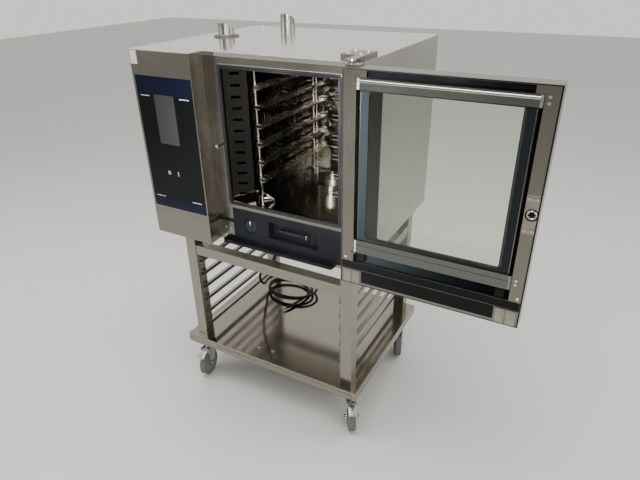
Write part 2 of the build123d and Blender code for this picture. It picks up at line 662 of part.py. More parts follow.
def strike_pin():
    pin = rod_y(FACE_Y - 38, FACE_Y, STRIKE_X, LATCH_Z, STRIKE_R)
    head = rod_y(FACE_Y - 38, FACE_Y - 30, STRIKE_X, LATCH_Z, STRIKE_R + 1.5)
    return pin + head


# ---- hinges and vents ----
def hinge_brackets():
    """Steel arms above and below the door, each with its hinge pin."""
    arm_x0 = PIVOT_X - 26
    top_arm = block(arm_x0, PIVOT_X + 2, PIVOT_Y, FACE_Y + 108, ARM_Z, ARM_Z + EAR_T)
    top_arm = top_arm + block(OVEN_W - 82, PIVOT_X + 2, FACE_Y + 18, FACE_Y + 108, ARM_Z, ARM_Z + EAR_T)
    top_arm = top_arm + block(OVEN_W - 82, PIVOT_X + 2, FACE_Y + 18, FACE_Y + 108, OVEN_H, ARM_Z)
    top_arm = top_arm + rod_z(ARM_Z, ARM_Z + EAR_T, PIVOT_X, PIVOT_Y, EYE_R)
    top_arm = top_arm + rod_z(DOOR_Z1 + 0.2, ARM_Z + EAR_T, PIVOT_X, PIVOT_Y, HINGE_PIN_R)
    top_arm = top_arm + rod_z(ARM_Z + EAR_T, ARM_Z + EAR_T + 4, PIVOT_X, PIVOT_Y, HINGE_PIN_R + 3)
    low_z = DOOR_Z0 - EAR_T - 1
    low_arm = block(arm_x0, PIVOT_X + 1, PIVOT_Y, FACE_Y, low_z - EAR_T, low_z)
    low_arm = low_arm + rod_z(low_z - EAR_T, low_z, PIVOT_X, PIVOT_Y, EYE_R)
    low_arm = low_arm + block(arm_x0, PIVOT_X + 1, FACE_Y - 4, FACE_Y, low_z - 30, low_z)
    low_arm = low_arm + rod_z(low_z, DOOR_Z0 - 0.2, PIVOT_X, PIVOT_Y, HINGE_PIN_R)
    low_arm = low_arm + rod_z(low_z - EAR_T - 4, low_z - EAR_T, PIVOT_X, PIVOT_Y, HINGE_PIN_R + 3)
    return group([top_arm, low_arm])


def vent_pipe(place):
    """A steel outlet with a slanted mouth, high at the front."""
    x, y, height = place
    z1 = OVEN_H + height
    pipe = rod_z(OVEN_H - VENT_BELOW, z1, x, y, VENT_R) - rod_z(OVEN_H - VENT_BELOW - 1, z1 + 1, x, y, VENT_R - 2)
    slant = math.degrees(math.atan2(VENT_SLANT, 2 * VENT_R))
    cutter = Pos(x, y, z1 - VENT_SLANT / 2) * Rot(-slant, 0, 0) * Pos(0, 0, 40) * Box(160, 160, 80)
    return pipe - cutter


def vent_pipes():
    front = vent_pipe(FRONT_VENT)
    rear = vent_pipe(REAR_VENT)
    x, y, _ = REAR_VENT
    foot = rod_z(OVEN_H, OVEN_H + 2, x, y, VENT_R + 3) - rod_z(OVEN_H - 1, OVEN_H + 3, x, y, VENT_R)
    return group([front, rear + foot])


def vent_collar():
    x, y, _ = FRONT_VENT
    collar = rod_z(OVEN_H, OVEN_H + COLLAR_H, x, y, COLLAR_R)
    return collar - rod_z(OVEN_H - 1, OVEN_H + COLLAR_H + 1, x, y, VENT_R)


def screw_heads():
    """Screw heads on the top, the face's lower corner, the hinge arm and the stand's shelf."""
    screws = []
    front_y = FACE_Y + 41
    for x in (14, 118, 225, 283):
        screws.append(rod_z(OVEN_H, OVEN_H + 2, x, front_y, 3.5))
    for x in (55, 392, 720, 805):
        screws.append(rod_z(OVEN_H, OVEN_H + 2, x, OVEN_D - 15, 3.5))
    for x, z in ((300, 56), (326, 56), (300, 24)):
        screws.append(rod_y(FACE_Y - 3, FACE_Y, x, z, 4.5))
    arm_top = ARM_Z + EAR_T
    for x in (OVEN_W - 66, OVEN_W - 24):
        for y in (FACE_Y + 36, FACE_Y + 90):
            screws.append(rod_z(arm_top, arm_top + 4, x, y, 6))
    shelf = SHELF_TOP - STAND_H
    for x, y in ((358, SHELF_Y0 + 60), (427, SHELF_Y0 + 67)):
        screws.append(rod_z(shelf, shelf + 3, x, y, 6))
    return group(screws)


# ---- door, modelled open ----
def door_frame():
    """A deep steel pan behind the outer glass, with window, air slot and latch cut-out."""
    t0, t1 = OUTER_GLASS_T, DOOR_T
    face_t = t1 - SHEET
    pan = door_block(0, DOOR_W, t0, t1, DOOR_Z0, DOOR_Z1)
    pan = pan - door_block(SHEET, DOOR_W - SHEET, t0 - 1, face_t, DOOR_Z0 + SHEET, DOOR_Z1 - SHEET)
    pan = pan - door_block(STILE, WINDOW_S1, face_t - 1, t1 + 1, WINDOW_Z0, WINDOW_Z1)
    pan = pan - door_block(SLOT_IN, DOOR_W - SLOT_IN + 13, face_t - 1, t1 + 1, WINDOW_Z1 - 1, DOOR_Z1 - 4)
    lip_t = t1 - 36
    for s in (STILE - SHEET, WINDOW_S1):
        pan = pan + door_block(s, s + SHEET, lip_t, face_t, WINDOW_Z0, WINDOW_Z1)
    pan = pan - door_block(LATCH_S - ROTOR_R - 6, DOOR_W - SHEET, face_t - 1, t1 + 1, LATCH_Z - 54, LATCH_Z + 54)
    for s in (8, DOOR_W - 68):
        pan = pan + door_block(s, s + 60, t1, t1 + 2, DOOR_Z0 + 4, DOOR_Z0 + 53)
    pan = pan + hinge_ears() + glass_lugs()
    return pan - glass_pivot_bores()


def hinge_ears():
    """Plates on the door's top and bottom that reach out to the hinge axis."""
    ears = None
    for z in (DOOR_Z1, DOOR_Z0 - EAR_T):
        ear = door_block(0, 40, PIVOT_OUT, 42, z, z + EAR_T)
        ear = ear + rod_z(z, z + EAR_T, PIVOT_X, PIVOT_Y, EYE_R)
        ear = ear - rod_z(z - 1, z + EAR_T + 1, PIVOT_X, PIVOT_Y, HINGE_PIN_R + RUN_FIT)
        ears = ear if ears is None else ears + ear
    return ears


def glass_pivot():
    """Where the inner glass's hinge axis crosses the x-y plane."""
    return DOOR_X0 + GLASS_S0 + GLASS_PIVOT_IN, DOOR_OUT_Y - DOOR_T + GLASS_PIVOT_IN


def glass_lugs():
    """Small lugs above and below the inner glass, at its hinge edge."""
    lugs = []
    for z in (WINDOW_Z1 + LUG_GAP, BOTTOM_RAIL_Z0 - LUG_GAP - LUG_T):
        lugs.append(door_block(STILE - 8, STILE + 8, DOOR_T - 6, DOOR_T + 4, z, z + LUG_T))
    return lugs


def glass_pivot_bores():
    x, y = glass_pivot()
    r = GLASS_PIN_R + RUN_FIT
    top = rod_z(WINDOW_Z1 - LUG_GAP, WINDOW_Z1 + LUG_GAP + LUG_T + 1, x, y, r)
    return top + rod_z(BOTTOM_RAIL_Z0 - LUG_T - 2, BOTTOM_RAIL_Z0 + LUG_GAP, x, y, r)


def door_outer_glass():
    pane = door_block(1, DOOR_W - 1, 0, OUTER_GLASS_T, DOOR_Z0 + 1, DOOR_Z1 - 1)
    return pane - door_rod(-1, OUTER_GLASS_T + 1, LATCH_S, LATCH_Z, 8)


def door_drip_channel():
    t0 = DOOR_T
    upper = door_block(5, DOOR_W - 5, t0, t0 + 2.5, DOOR_Z0 + 55, WINDOW_Z0 - 2)
    lower = door_block(72, DOOR_W - 72, t0, t0 + 2.5, DOOR_Z0 + 13, DOOR_Z0 + 56)
    groove = door_block(4, DOOR_W - 4, t0 + 1.2, t0 + 4, DOOR_Z0 + 58, DOOR_Z0 + 70)
    return upper + lower - groove


def latch_plate():
    cover = door_block(LATCH_S - ROTOR_R - 6, DOOR_W - SHEET, DOOR_T - SHEET, DOOR_T, LATCH_Z - 54, LATCH_Z + 54)
    return cover - door_rod(0, DOOR_T + 1, LATCH_S, LATCH_Z, ROTOR_R + 0.6)


def door_screws():
    """Small screws on the stile and the two ball-ended guide pins near the bottom."""
    pieces = []
    for z in (DOOR_Z1 - 29, DOOR_Z1 - 44, DOOR_Z0 + 149, DOOR_Z0 + 137):
        pieces.append(door_rod(DOOR_T, DOOR_T + 0.3, DOOR_W - 26, z, 4))
    for s in (17, DOOR_W - 14):
        centre = Pos(DOOR_X0 + s, DOOR_OUT_Y - DOOR_T, DOOR_Z0 + 94)
        dome = centre * Sphere(GUIDE_PIN_R)
        pieces.append(dome - door_block(0, DOOR_W, 0, DOOR_T, DOOR_Z0, DOOR_Z1))
    return group(pieces)


def inner_glass():
    return door_block(STILE + PANE_IN, WINDOW_S1 - PANE_IN, DOOR_T - 9, DOOR_T - 9 + PANE_T,
                      BOTTOM_RAIL_Z0 + 16, WINDOW_Z1 - 13)


def inner_glass_rails():
    """Aluminium rails that grip the pane, with pivot pins at the hinge side."""
    pieces = []
    for z0, z1 in ((WINDOW_Z1 - RAIL_TOP_H, WINDOW_Z1 - 1), (BOTTOM_RAIL_Z0, BOTTOM_RAIL_Z0 + RAIL_BOTTOM_H)):
        rail = door_block(GLASS_S0, GLASS_S1, DOOR_T - RAIL_T, DOOR_T, z0, z1)
        pieces.append(rail)
    x, y = glass_pivot()
    seat = inner_glass()
    top_pin = rod_z(WINDOW_Z1 - 6, WINDOW_Z1 + LUG_T, x, y, GLASS_PIN_R)
    low_pin = rod_z(BOTTOM_RAIL_Z0 - LUG_T, BOTTOM_RAIL_Z0 + 6, x, y, GLASS_PIN_R)
    return group([pieces[0] + top_pin - seat, pieces[1] + low_pin - seat])


def door_handle():
    """A lever on the door's outer face, on the spindle that turns the latch."""
    boss = door_rod(-24, -0.5, LATCH_S, LATCH_Z, 16)
    spindle = door_rod(-1, 20, LATCH_S, LATCH_Z, 7)
    link = door_block(LATCH_S - 10, LATCH_S + 10, -HANDLE_OUT, -20, LATCH_Z - 12, LATCH_Z + 12)
    grip = door_block(LATCH_S - 12, LATCH_S + 12, -HANDLE_OUT, -HANDLE_OUT + 17,
                      LATCH_Z - HANDLE_LENGTH, LATCH_Z + 14)
    grip = fillet(grip.edges().filter_by(Axis.Z), 6)
    return join([grip, link, boss, spindle])


def latch_rotor():
    """A round cup in the latch plate that closes on the strike pin."""
    cup = door_rod(20, DOOR_T - 0.5, LATCH_S, LATCH_Z, ROTOR_R)
    cup = cup - door_rod(24, DOOR_T + 1, LATCH_S, LATCH_Z, ROTOR_R - ROTOR_WALL)
    return cup


# ---- stand ----
def leg_corners():
    return [(x, y) for x in (LEFT_LEG_X, RIGHT_LEG_X) for y in (FRONT_LEG_Y, REAR_LEG_Y)]


def stand_legs():
    return group([tube_block(x, x + LEG, y, y + LEG, SHELF_TOP, STAND_H, "z") for x, y in leg_corners()])


def stand_rails():
    inset = (LEG - RAIL) / 2
    rails = []
    for y in (FRONT_LEG_Y + inset, REAR_LEG_Y + inset):
        rails.append(tube_block(LEFT_LEG_X + LEG, RIGHT_LEG_X, y, y + RAIL, RAIL_Z0, RAIL_Z1, "x"))
    for x in (LEFT_LEG_X + inset, RIGHT_LEG_X + inset):
        rails.append(tube_block(x, x + RAIL, FRONT_LEG_Y + LEG, REAR_LEG_Y, RAIL_Z0, RAIL_Z1, "y"))
    return group(rails)


def stand_shelf():
    """A folded tray with turned-down edges and two channels that carry the castors."""
    tray = block(SHELF_X0, SHELF_X1, SHELF_Y0, SHELF_Y1, PLATE_Z, SHELF_TOP)
    tray = tray - block(SHELF_X0 + SHEET, SHELF_X1 - SHEET, SHELF_Y0 + SHEET, SHELF_Y1 - SHEET,
                        PLATE_Z - 1, SHELF_TOP - SHEET)
    for x in (SHELF_X0 + CASTOR_IN, SHELF_X1 - CASTOR_IN):
        channel = block(x - 40, x + 40, SHELF_Y0 + 12, SHELF_Y1 - 12, PLATE_Z, SHELF_TOP - SHEET)
        tray = tray + channel - block(x - 37, x + 37, SHELF_Y0, SHELF_Y1, PLATE_Z + 3, SHELF_TOP - SHEET)
    tray = tray + block(SHELF_X0, SHELF_X1, SHELF_Y0, SHELF_Y0 + SHEET, PLATE_Z, SHELF_TOP)
    tray = tray + block(SHELF_X0, SHELF_X1, SHELF_Y1 - SHEET, SHELF_Y1, PLATE_Z, SHELF_TOP)
    shelf_w = SHELF_X1 - SHELF_X0
    for x, z in ((17, 18), (17, 37), (249, 20), (305, 20), (shelf_w - 22, 18), (shelf_w - 22, 37)):
        tray = tray - rod_y(SHELF_Y0 - 1, SHELF_Y0 + SHEET + 1, SHELF_X0 + x, SHELF_TOP - z, 3)
    return tray


def ladder_levels():
    return [SHELF_TOP + LADDER_FIRST + level * LADDER_PITCH for level in range(LADDER_LEVELS)]


def ladder_strips():
    """A strip of hooks on the inner face of each leg."""
    strips = []
    for leg_x, leg_y in leg_corners():
        left = leg_x == LEFT_LEG_X
        face = leg_x + LEG if left else leg_x
        side = 1 if left else -1
        x0, x1 = sorted((face, face + side * LADDER_T))
        y0, y1 = leg_y + 8, leg_y + LEG - 8
        strip = block(x0, x1, y0, y1, SHELF_TOP + 12, RAIL_Z0 - 8)
        hook_x0, hook_x1 = sorted((face, face + side * (LADDER_T + 8)))
        for z in ladder_levels():
            hook = block(hook_x0, hook_x1, y0, y1, z - STAND_RUNNER_H / 2 - 4, z - STAND_RUNNER_H / 2)
            strip = strip + hook
        strips.append(strip)
    return group(strips)


def tray_runners():
    """Channel runners that rest on the hooks, front to back on both sides."""
    runners = []
    y0, y1 = FRONT_LEG_Y + 22, REAR_LEG_Y + LEG - 22
    half = STAND_RUNNER_H / 2
    for side in (1, -1):
        face = LEFT_LEG_X + LEG if side > 0 else RIGHT_LEG_X
        back = face + side * LADDER_T
        for z in ladder_levels():
            x0, x1 = sorted((back, back + side * STAND_RUNNER_W))
            bar = block(x0, x1, y0, y1, z - half, z + half)
            x0, x1 = sorted((back + side * 2, back + side * (STAND_RUNNER_W + 1)))
            runners.append(bar - block(x0, x1, y0 - 1, y1 + 1, z - half + 2, z + half - 2))
    return group(runners)


def castor_axis(name):
    """x and y of a castor's swivel axis."""
    end, side = name.split("_")
    x = SHELF_X0 + CASTOR_IN if side == "left" else SHELF_X1 - CASTOR_IN
    y = SHELF_Y0 + CASTOR_FRONT if end == "front" else SHELF_Y1 - CASTOR_FRONT
    return x, y


def castor_plates():
    plates = []
    for name in CASTOR_TURNS:
        x, y = castor_axis(name)
        top = block(x - 37, x + 37, y - 46, y + 46, PLATE_Z - 4, PLATE_Z)
        top = top + rod_z(PLATE_Z - 13, PLATE_Z - 4, x, y, 31)
        for dx in (-29, 29):
            for dy in (-37, 37):
                top = top + rod_z(PLATE_Z - 8, PLATE_Z - 4, x + dx, y + dy, 6)
        plates.append(top)
    return group(plates)


def castor_fork():
    """A pressed fork: crown, two cheeks and the axle; its wheel trails along +x."""
    inner = WHEEL_W / 2 + FORK_GAP
    outer = inner + FORK_T
    crown = rod_z(FORK_TOP, PLATE_Z - 13.5, 0, 0, 27)
    yoke = block(-24, PEDAL_X - 6, -outer, outer, FORK_TOP - 6, FORK_TOP)
    pieces = [crown, yoke]
    outline = Polygon((-18, FORK_TOP), (PEDAL_X + 7, FORK_TOP + 4), (PEDAL_X + 7, FORK_TOP - 12),
                      (TRAIL + 13, WHEEL_R), (TRAIL - 13, WHEEL_R), align=None)
    for side in (-1, 1):
        y = side * (inner + FORK_T / 2)
        cheek = Pos(0, y, 0) * Rot(90, 0, 0) * extrude(outline, FORK_T / 2, both=True)
        pieces.append(cheek)
        pieces.append(rod_y(y - FORK_T / 2, y + FORK_T / 2, TRAIL, WHEEL_R, 13))
    pieces.append(rod_y(-outer - 6, outer + 6, TRAIL, WHEEL_R, AXLE_R))
    for y0, y1 in ((-outer - 5, -outer), (outer, outer + 5)):
        pieces.append(rod_y(y0, y1, TRAIL, WHEEL_R, 9))
    return join(pieces) - rod_y(-40, 40, PEDAL_X, PEDAL_Z, PEDAL_PIN_R + RUN_FIT)


def castor_wheel():
    half = WHEEL_W / 2
    tyre = rod_y(-half, half, TRAIL, WHEEL_R, WHEEL_R)
    tyre = fillet(tyre.edges().filter_by(GeomType.CIRCLE), 6)
    for y0, y1 in ((-half - 1, -half + 5), (half - 5, half + 1)):
        dish = rod_y(y0, y1, TRAIL, WHEEL_R, WHEEL_R - 16) - rod_y(y0, y1, TRAIL, WHEEL_R, 18)
        tyre = tyre - dish
    return tyre - rod_y(-half - 1, half + 1, TRAIL, WHEEL_R, AXLE_R + RUN_FIT)


def brake_pedal():
    """A foot pedal that swings on a pin through the fork's cheeks."""
    width = WHEEL_W / 2 + FORK_GAP - 0.6
    outline = Polygon((PEDAL_X - 4, PEDAL_Z - 5), (PEDAL_X - 4, PEDAL_Z + 5), (PEDAL_X + 12, PEDAL_Z + 4),
                      (PEDAL_X + 46, PEDAL_Z - 14), (PEDAL_X + 44, PEDAL_Z - 20), (PEDAL_X + 12, PEDAL_Z - 5),
                      align=None)
    pedal = Rot(90, 0, 0) * extrude(outline, width, both=True)
    return pedal + rod_y(-width - FORK_T, width + FORK_T, PEDAL_X, PEDAL_Z, PEDAL_PIN_R)


# ---- power cord ----
def cord_gland():
    """A tapered strain relief under the oven's base."""
    nut = rod_z(-8, 0, GLAND_X, GLAND_Y, GLAND_R)
    cone = Pos(GLAND_X, GLAND_Y, -8 - (GLAND_LENGTH - 8) / 2) * Cone(CORD_R + 1.5, GLAND_R - 2, GLAND_LENGTH - 8)
    return nut + cone


def corner_radii(points):
    """The largest even arcs: 0.45 of the shorter run over the tangent of half the turn."""
    radii = []
    for before, at, after in zip(points, points[1:], points[2:]):
        run_in = Vector(*at) - Vector(*before)
        run_out = Vector(*after) - Vector(*at)
        turn = math.radians(run_in.get_angle(run_out))
        radii.append(0.45 * min(run_in.length, run_out.length) / math.tan(turn / 2))
    return radii


def cord_tube(name, points):
    radii = corner_radii(points)
    path = FilletPolyline(*points, radius=radii)
    tube = sweep(Plane(path @ 0, z_dir=path % 0) * Circle(CORD_R), path)
    ideal = math.pi * CORD_R ** 2 * path.length
    print(name, "length", round(path.length, 1), "radii", [round(radius) for radius in radii],
          "volume share", round(tube.volume / ideal, 4))
    return tube.solid()


# The feed drops from the gland and sweeps left into the coil on the shelf.
FEED = [
    (GLAND_X, GLAND_Y, STAND_H - GLAND_LENGTH),
    (GLAND_X, GLAND_Y, 715),
    (380, 275, 650),
    (340, 303, 588),
    (284, 338, 530),
    (228, 376, 474),
    (183, 412, 414),
    (160, 448, 356),
    (154, 487, 310),
    (166, 520, SHELF_TOP + COIL_H - 2),
]
# The tail leaves the coil's near side and ends a little in front of it.
TAIL = [(338, 500, 251), (331, 476, 248), (319, 449, 247)]


def cord_coil():
    """Outer shape of the loose turns that lie on the shelf."""
    ring = Ellipse(COIL_HALF_W, COIL_HALF_D) - Ellipse(COIL_HALF_W - COIL_BAND, COIL_HALF_D - COIL_BAND)
    return Pos(COIL_X, COIL_Y, SHELF_TOP) * extrude(ring, COIL_H)


def cord_end():
    """Cut end: a short sleeve with five bare cores."""
    tip = Vector(*TAIL[-1])
    along = (tip - Vector(*TAIL[-2])).normalized()
    frame = Plane(tip, z_dir=along)
    sleeve = frame * Pos(0, 0, 6) * Cylinder(CORD_R + 0.4, 12)
    pieces = [sleeve]
    for index in range(5):
        angle = math.radians(index * 72)
        spot = Pos(3.6 * math.cos(angle), 3.6 * math.sin(angle), 12 + 12)
        pieces.append(frame * spot * Cylinder(1.6, 24))
    return join(pieces)


# ---- write every node ----
def place_and_write(name, shape, lift=0.0):
    placed = Pos(-CENTRE_X, -CENTRE_Y, lift) * shape
    export_step(placed, f"parts/{name}.step")


OVEN_NODES = {
    "base_tray": base_tray,
    "top_panel": top_panel,
    "left_side_panel": left_side_panel,
    "right_side_panel": lambda: side_panel(OVEN_W - SHEET, FACE_Y),
    "rear_panel": rear_panel,
    "front_frame": front_frame,
    "control_housing": control_housing,
    "control_glass": control_glass,
    "touch_screen": touch_screen,
    "control_board": control_board,
    "cavity_liner": cavity_liner,
    "insulation": insulation,
    "door_gasket": door_gasket,
    "suction_panel": suction_panel,
    "fan_wheel": fan_wheel,
    "fan_motor": fan_motor,
    "heating_element": heating_element,
    "boiler": boiler,
    "left_rack": left_rack,
    "right_rack": right_rack,
    "drain_strainer": drain_strainer,
    "lower_fascia": lower_fascia,
    "selector_knob": selector_knob,
    "service_drawer": service_drawer,
    "drip_gutter": drip_gutter,
    "strike_pin": strike_pin,
    "hinge_brackets": hinge_brackets,
    "vent_pipes": vent_pipes,
    "vent_collar": vent_collar,
    "screw_heads": screw_heads,
    "door_frame": door_frame,
    "door_outer_glass": door_outer_glass,
    "door_drip_channel": door_drip_channel,
    "latch_plate": latch_plate,
    "door_screws": door_screws,
    "inner_glass": inner_glass,
    "inner_glass_rails": inner_glass_rails,
    "door_handle": door_handle,
    "latch_rotor": latch_rotor,
    "cord_gland": cord_gland,
}

STAND_NODES = {
    "stand_legs": stand_legs,
    "stand_rails": stand_rails,
    "stand_shelf": stand_shelf,
    "ladder_strips": ladder_strips,
    "tray_runners": tray_runners,
    "castor_plates": castor_plates,
    "cord_feed": lambda: cord_tube("cord_feed", FEED),
    "cord_coil": cord_coil,
    "cord_tail": lambda: cord_tube("cord_tail", TAIL),
    "cord_end": cord_end,
}


def main():
    os.makedirs("parts", exist_ok=True)
    for name, make in OVEN_NODES.items():
        place_and_write(name, make(), STAND_H)
    for name, make in STAND_NODES.items():
        place_and_write(name, make())
    fork = castor_fork()
    wheel = castor_wheel()
    pedal = brake_pedal()
    for name, turn in CASTOR_TURNS.items():
        place = Pos(*castor_axis(name), 0) * Rot(0, 0, turn)
        place_and_write(f"castor_fork_{name}", place * fork)
        place_and_write(f"castor_wheel_{name}", place * wheel)
        if name.startswith("front"):
            place_and_write(f"brake_pedal_{name}", place * pedal)


main()
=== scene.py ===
import json
import math

import bmesh
import bpy
from mathutils import Matrix, Vector


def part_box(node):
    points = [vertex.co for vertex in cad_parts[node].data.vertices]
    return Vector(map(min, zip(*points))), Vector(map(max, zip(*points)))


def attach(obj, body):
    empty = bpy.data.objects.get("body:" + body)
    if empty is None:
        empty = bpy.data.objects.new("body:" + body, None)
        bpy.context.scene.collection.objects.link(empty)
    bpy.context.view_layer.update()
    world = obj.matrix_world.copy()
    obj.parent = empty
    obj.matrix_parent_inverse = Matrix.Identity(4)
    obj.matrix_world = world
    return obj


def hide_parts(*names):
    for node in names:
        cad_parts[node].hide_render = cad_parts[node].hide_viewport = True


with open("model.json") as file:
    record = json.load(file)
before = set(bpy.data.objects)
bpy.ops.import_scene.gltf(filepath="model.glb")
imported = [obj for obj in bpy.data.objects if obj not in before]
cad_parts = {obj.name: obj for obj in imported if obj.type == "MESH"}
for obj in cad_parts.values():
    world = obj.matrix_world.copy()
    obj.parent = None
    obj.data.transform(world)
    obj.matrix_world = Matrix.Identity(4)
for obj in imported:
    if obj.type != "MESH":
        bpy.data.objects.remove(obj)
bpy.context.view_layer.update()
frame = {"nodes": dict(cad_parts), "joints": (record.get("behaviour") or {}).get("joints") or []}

MM = 0.001
OVEN = "oven_and_stand"
DOOR = "door"
GLASS = "inner_glass_unit"


def corners(node):
    low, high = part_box(node)
    return Vector(low), Vector(high)


# ---- places, from the frame ----
HOUSING_LOW, HOUSING_HIGH = corners("control_housing")
SIDE_LOW = corners("left_side_panel")[0]
PANEL_LOW, PANEL_HIGH = corners("control_glass")
PANE_LOW, PANE_HIGH = corners("door_outer_glass")
TOP_Z = corners("top_panel")[1].z
OVEN_Z = HOUSING_LOW.z
JOINTS = {joint["name"]: joint for joint in frame["joints"]}


def at(x, y, z):
    """A point in mm from the oven's left side, its control panel's front and the floor."""
    return Vector((SIDE_LOW.x + x * MM, HOUSING_LOW.y + y * MM, z * MM))


def on_door(s, t, z):
    """A point in mm on the open door: s from its hinge edge, t in from its outer face, z above the oven."""
    return Vector((PANE_LOW.x + (s - 1) * MM, PANE_HIGH.y - t * MM, OVEN_Z + z * MM))


# ---- camera ----
CAMERA_PLACE = (1519.6, -1384.1, 1776.2)
CAMERA_LENS = 29.82
CAMERA_TURN = (0.506, -0.486, -0.015)


def make_camera():
    yaw, pitch, roll = CAMERA_TURN
    forward = Vector((-math.sin(yaw) * math.cos(pitch), math.cos(yaw) * math.cos(pitch), math.sin(pitch)))
    level = Vector((math.cos(yaw), math.sin(yaw), 0))
    above = level.cross(forward)
    right = level * math.cos(roll) + above * math.sin(roll)
    up = above * math.cos(roll) - level * math.sin(roll)
    data = bpy.data.cameras.new("camera")
    data.lens = CAMERA_LENS
    data.sensor_width = 36
    camera = bpy.data.objects.new("camera", data)
    bpy.context.scene.collection.objects.link(camera)
    turn = Matrix((right, up, -forward)).transposed().to_4x4()
    camera.matrix_world = Matrix.Translation(at(*CAMERA_PLACE)) @ turn
    bpy.context.scene.camera = camera


make_camera()


# ---- shader helpers ----
class Shader:
    """A material built from nodes, with short names for the nodes that this scene uses."""

    def __init__(self, name, **settings):
        self.material = bpy.data.materials.new(name)
        self.material.use_nodes = True
        self.tree = self.material.node_tree
        self.main = self.tree.nodes["Principled BSDF"]
        self.coord = self.tree.nodes.new("ShaderNodeTexCoord").outputs["Object"]
        for key, value in settings.items():
            self.main.inputs[key.replace("_", " ")].default_value = value

    def link(self, source, node, socket):
        self.tree.links.new(source, node.inputs[socket])

    def noise(self, scale, detail=3.0, rough=0.55, stretch=(1, 1, 1), distort=0.0):
        mapping = self.tree.nodes.new("ShaderNodeMapping")
        mapping.inputs["Scale"].default_value = stretch
        self.link(self.coord, mapping, "Vector")
        node = self.tree.nodes.new("ShaderNodeTexNoise")
        node.inputs["Scale"].default_value = scale
        node.inputs["Detail"].default_value = detail
        node.inputs["Roughness"].default_value = rough
        node.inputs["Distortion"].default_value = distort
        self.link(mapping.outputs["Vector"], node, "Vector")
        return node.outputs["Fac"]

    def ramp(self, source, low, high, out_low=0.0, out_high=1.0):
        node = self.tree.nodes.new("ShaderNodeMapRange")
        for key, value in (("From Min", low), ("From Max", high), ("To Min", out_low), ("To Max", out_high)):
            node.inputs[key].default_value = value
        self.link(source, node, "Value")
        return node.outputs["Result"]

    def math(self, kind, first, second):
        node = self.tree.nodes.new("ShaderNodeMath")
        node.operation = kind
        for index, value in enumerate((first, second)):
            if isinstance(value, (int, float)):
                node.inputs[index].default_value = value
            else:
                self.tree.links.new(value, node.inputs[index])
        return node.outputs[0]

    def mix(self, factor, first, second):
        node = self.tree.nodes.new("ShaderNodeMix")
        node.data_type = "RGBA"
        self.link(factor, node, 0)
        for index, value in ((6, first), (7, second)):
            if isinstance(value, tuple):
                node.inputs[index].default_value = (*value, 1)
            else:
                self.tree.links.new(value, node.inputs[index])
        return node.outputs[2]

    def color(self, source):
        self.link(source, self.main, "Base Color")

    def roughness(self, source):
        self.link(source, self.main, "Roughness")

    def bump(self, source, strength, distance):
        node = self.tree.nodes.new("ShaderNodeBump")
        node.inputs["Strength"].default_value = strength
        node.inputs["Distance"].default_value = distance
        self.link(source, node, "Height")
        self.link(node.outputs["Normal"], self.main, "Normal")


def shade(tone, factor):
    return tuple(min(1.0, part * factor) for part in tone)


def brushed(name, tone, grain, rough=0.30, smudge=0.08, contrast=0.10, bump=0.10):
    """Brushed sheet: fine lines along one axis, faint broad streaks, handling marks and a few dull specks."""
    shader = Shader(name, Metallic=1.0)
    axis = "xyz".index(grain)
    fine = [900.0] * 3
    fine[axis] = 6.0
    broad = [22.0] * 3
    broad[axis] = 0.9
    lines = shader.noise(1.0, 3.0, 0.7, fine)
    streaks = shader.noise(1.0, 4.0, 0.6, broad)
    marks = shader.noise(3.2, 4.0, 0.5, distort=0.4)
    specks = shader.ramp(shader.noise(140.0, 2.0), 0.70, 0.76)
    toned = shader.mix(streaks, shade(tone, 1 - contrast), shade(tone, 1 + contrast))
    lined = shader.mix(shader.ramp(lines, 0.3, 0.7, 0.0, 0.35), toned, shade(tone, 0.78))
    shader.color(shader.mix(specks, lined, shade(tone, 0.55)))
    smeared = shader.ramp(marks, 0.35, 0.70, rough - smudge / 2, rough + smudge / 2)
    lifted = shader.math("ADD", smeared, shader.ramp(lines, 0.25, 0.75, -0.06, 0.08))
    shader.roughness(lifted)
    shader.bump(lines, bump, 0.0002)
    return shader.material


def polished(name, tone, rough=0.10, grime=0.3, scale=9.0):
    """Bright bar or plate with water marks and a little grime."""
    shader = Shader(name, Metallic=1.0)
    marks = shader.noise(scale, 6.0, 0.6, distort=0.5)
    spots = shader.ramp(shader.noise(scale * 14, 2.0), 0.62, 0.72)
    shader.color(shader.mix(shader.ramp(marks, 0.45, 0.75, 0.0, grime), tone, shade(tone, 0.45)))
    base = shader.ramp(marks, 0.3, 0.75, rough * 0.6, rough * 2.4)
    shader.roughness(shader.math("ADD", base, shader.math("MULTIPLY", spots, 0.15)))
    shader.bump(marks, 0.06, 0.0006)
    return shader.material


def moulded(name, tone, rough=0.45, texture=700.0, dust=0.25, bump=0.18):
    """Moulded plastic or rubber: fine pebbled skin and a thin film of dust."""
    shader = Shader(name, Specular_IOR_Level=0.16)
    pebbles = shader.noise(texture, 2.0, 0.5)
    film = shader.noise(7.0, 6.0, 0.65, distort=0.4)
    dusty = tuple(part * 0.8 + 0.06 for part in tone)
    shader.color(shader.mix(shader.ramp(film, 0.42, 0.8, 0.0, dust), tone, dusty))
    shader.roughness(shader.ramp(film, 0.3, 0.75, rough - 0.08, rough + 0.16))
    shader.bump(pebbles, bump, 0.0002)
    return shader.material


def printed_glass(name, tone, rough=0.05):
    """Back-printed glass: deep colour under a clear face with fingerprints."""
    shader = Shader(name, Specular_IOR_Level=0.15)
    prints = shader.noise(16.0, 7.0, 0.7, distort=1.4)
    mottle = shader.noise(3.0, 3.0)
    shader.color(shader.mix(mottle, shade(tone, 0.85), shade(tone, 1.2)))
    shader.roughness(shader.ramp(prints, 0.5, 0.75, rough, rough + 0.22))
    return shader.material


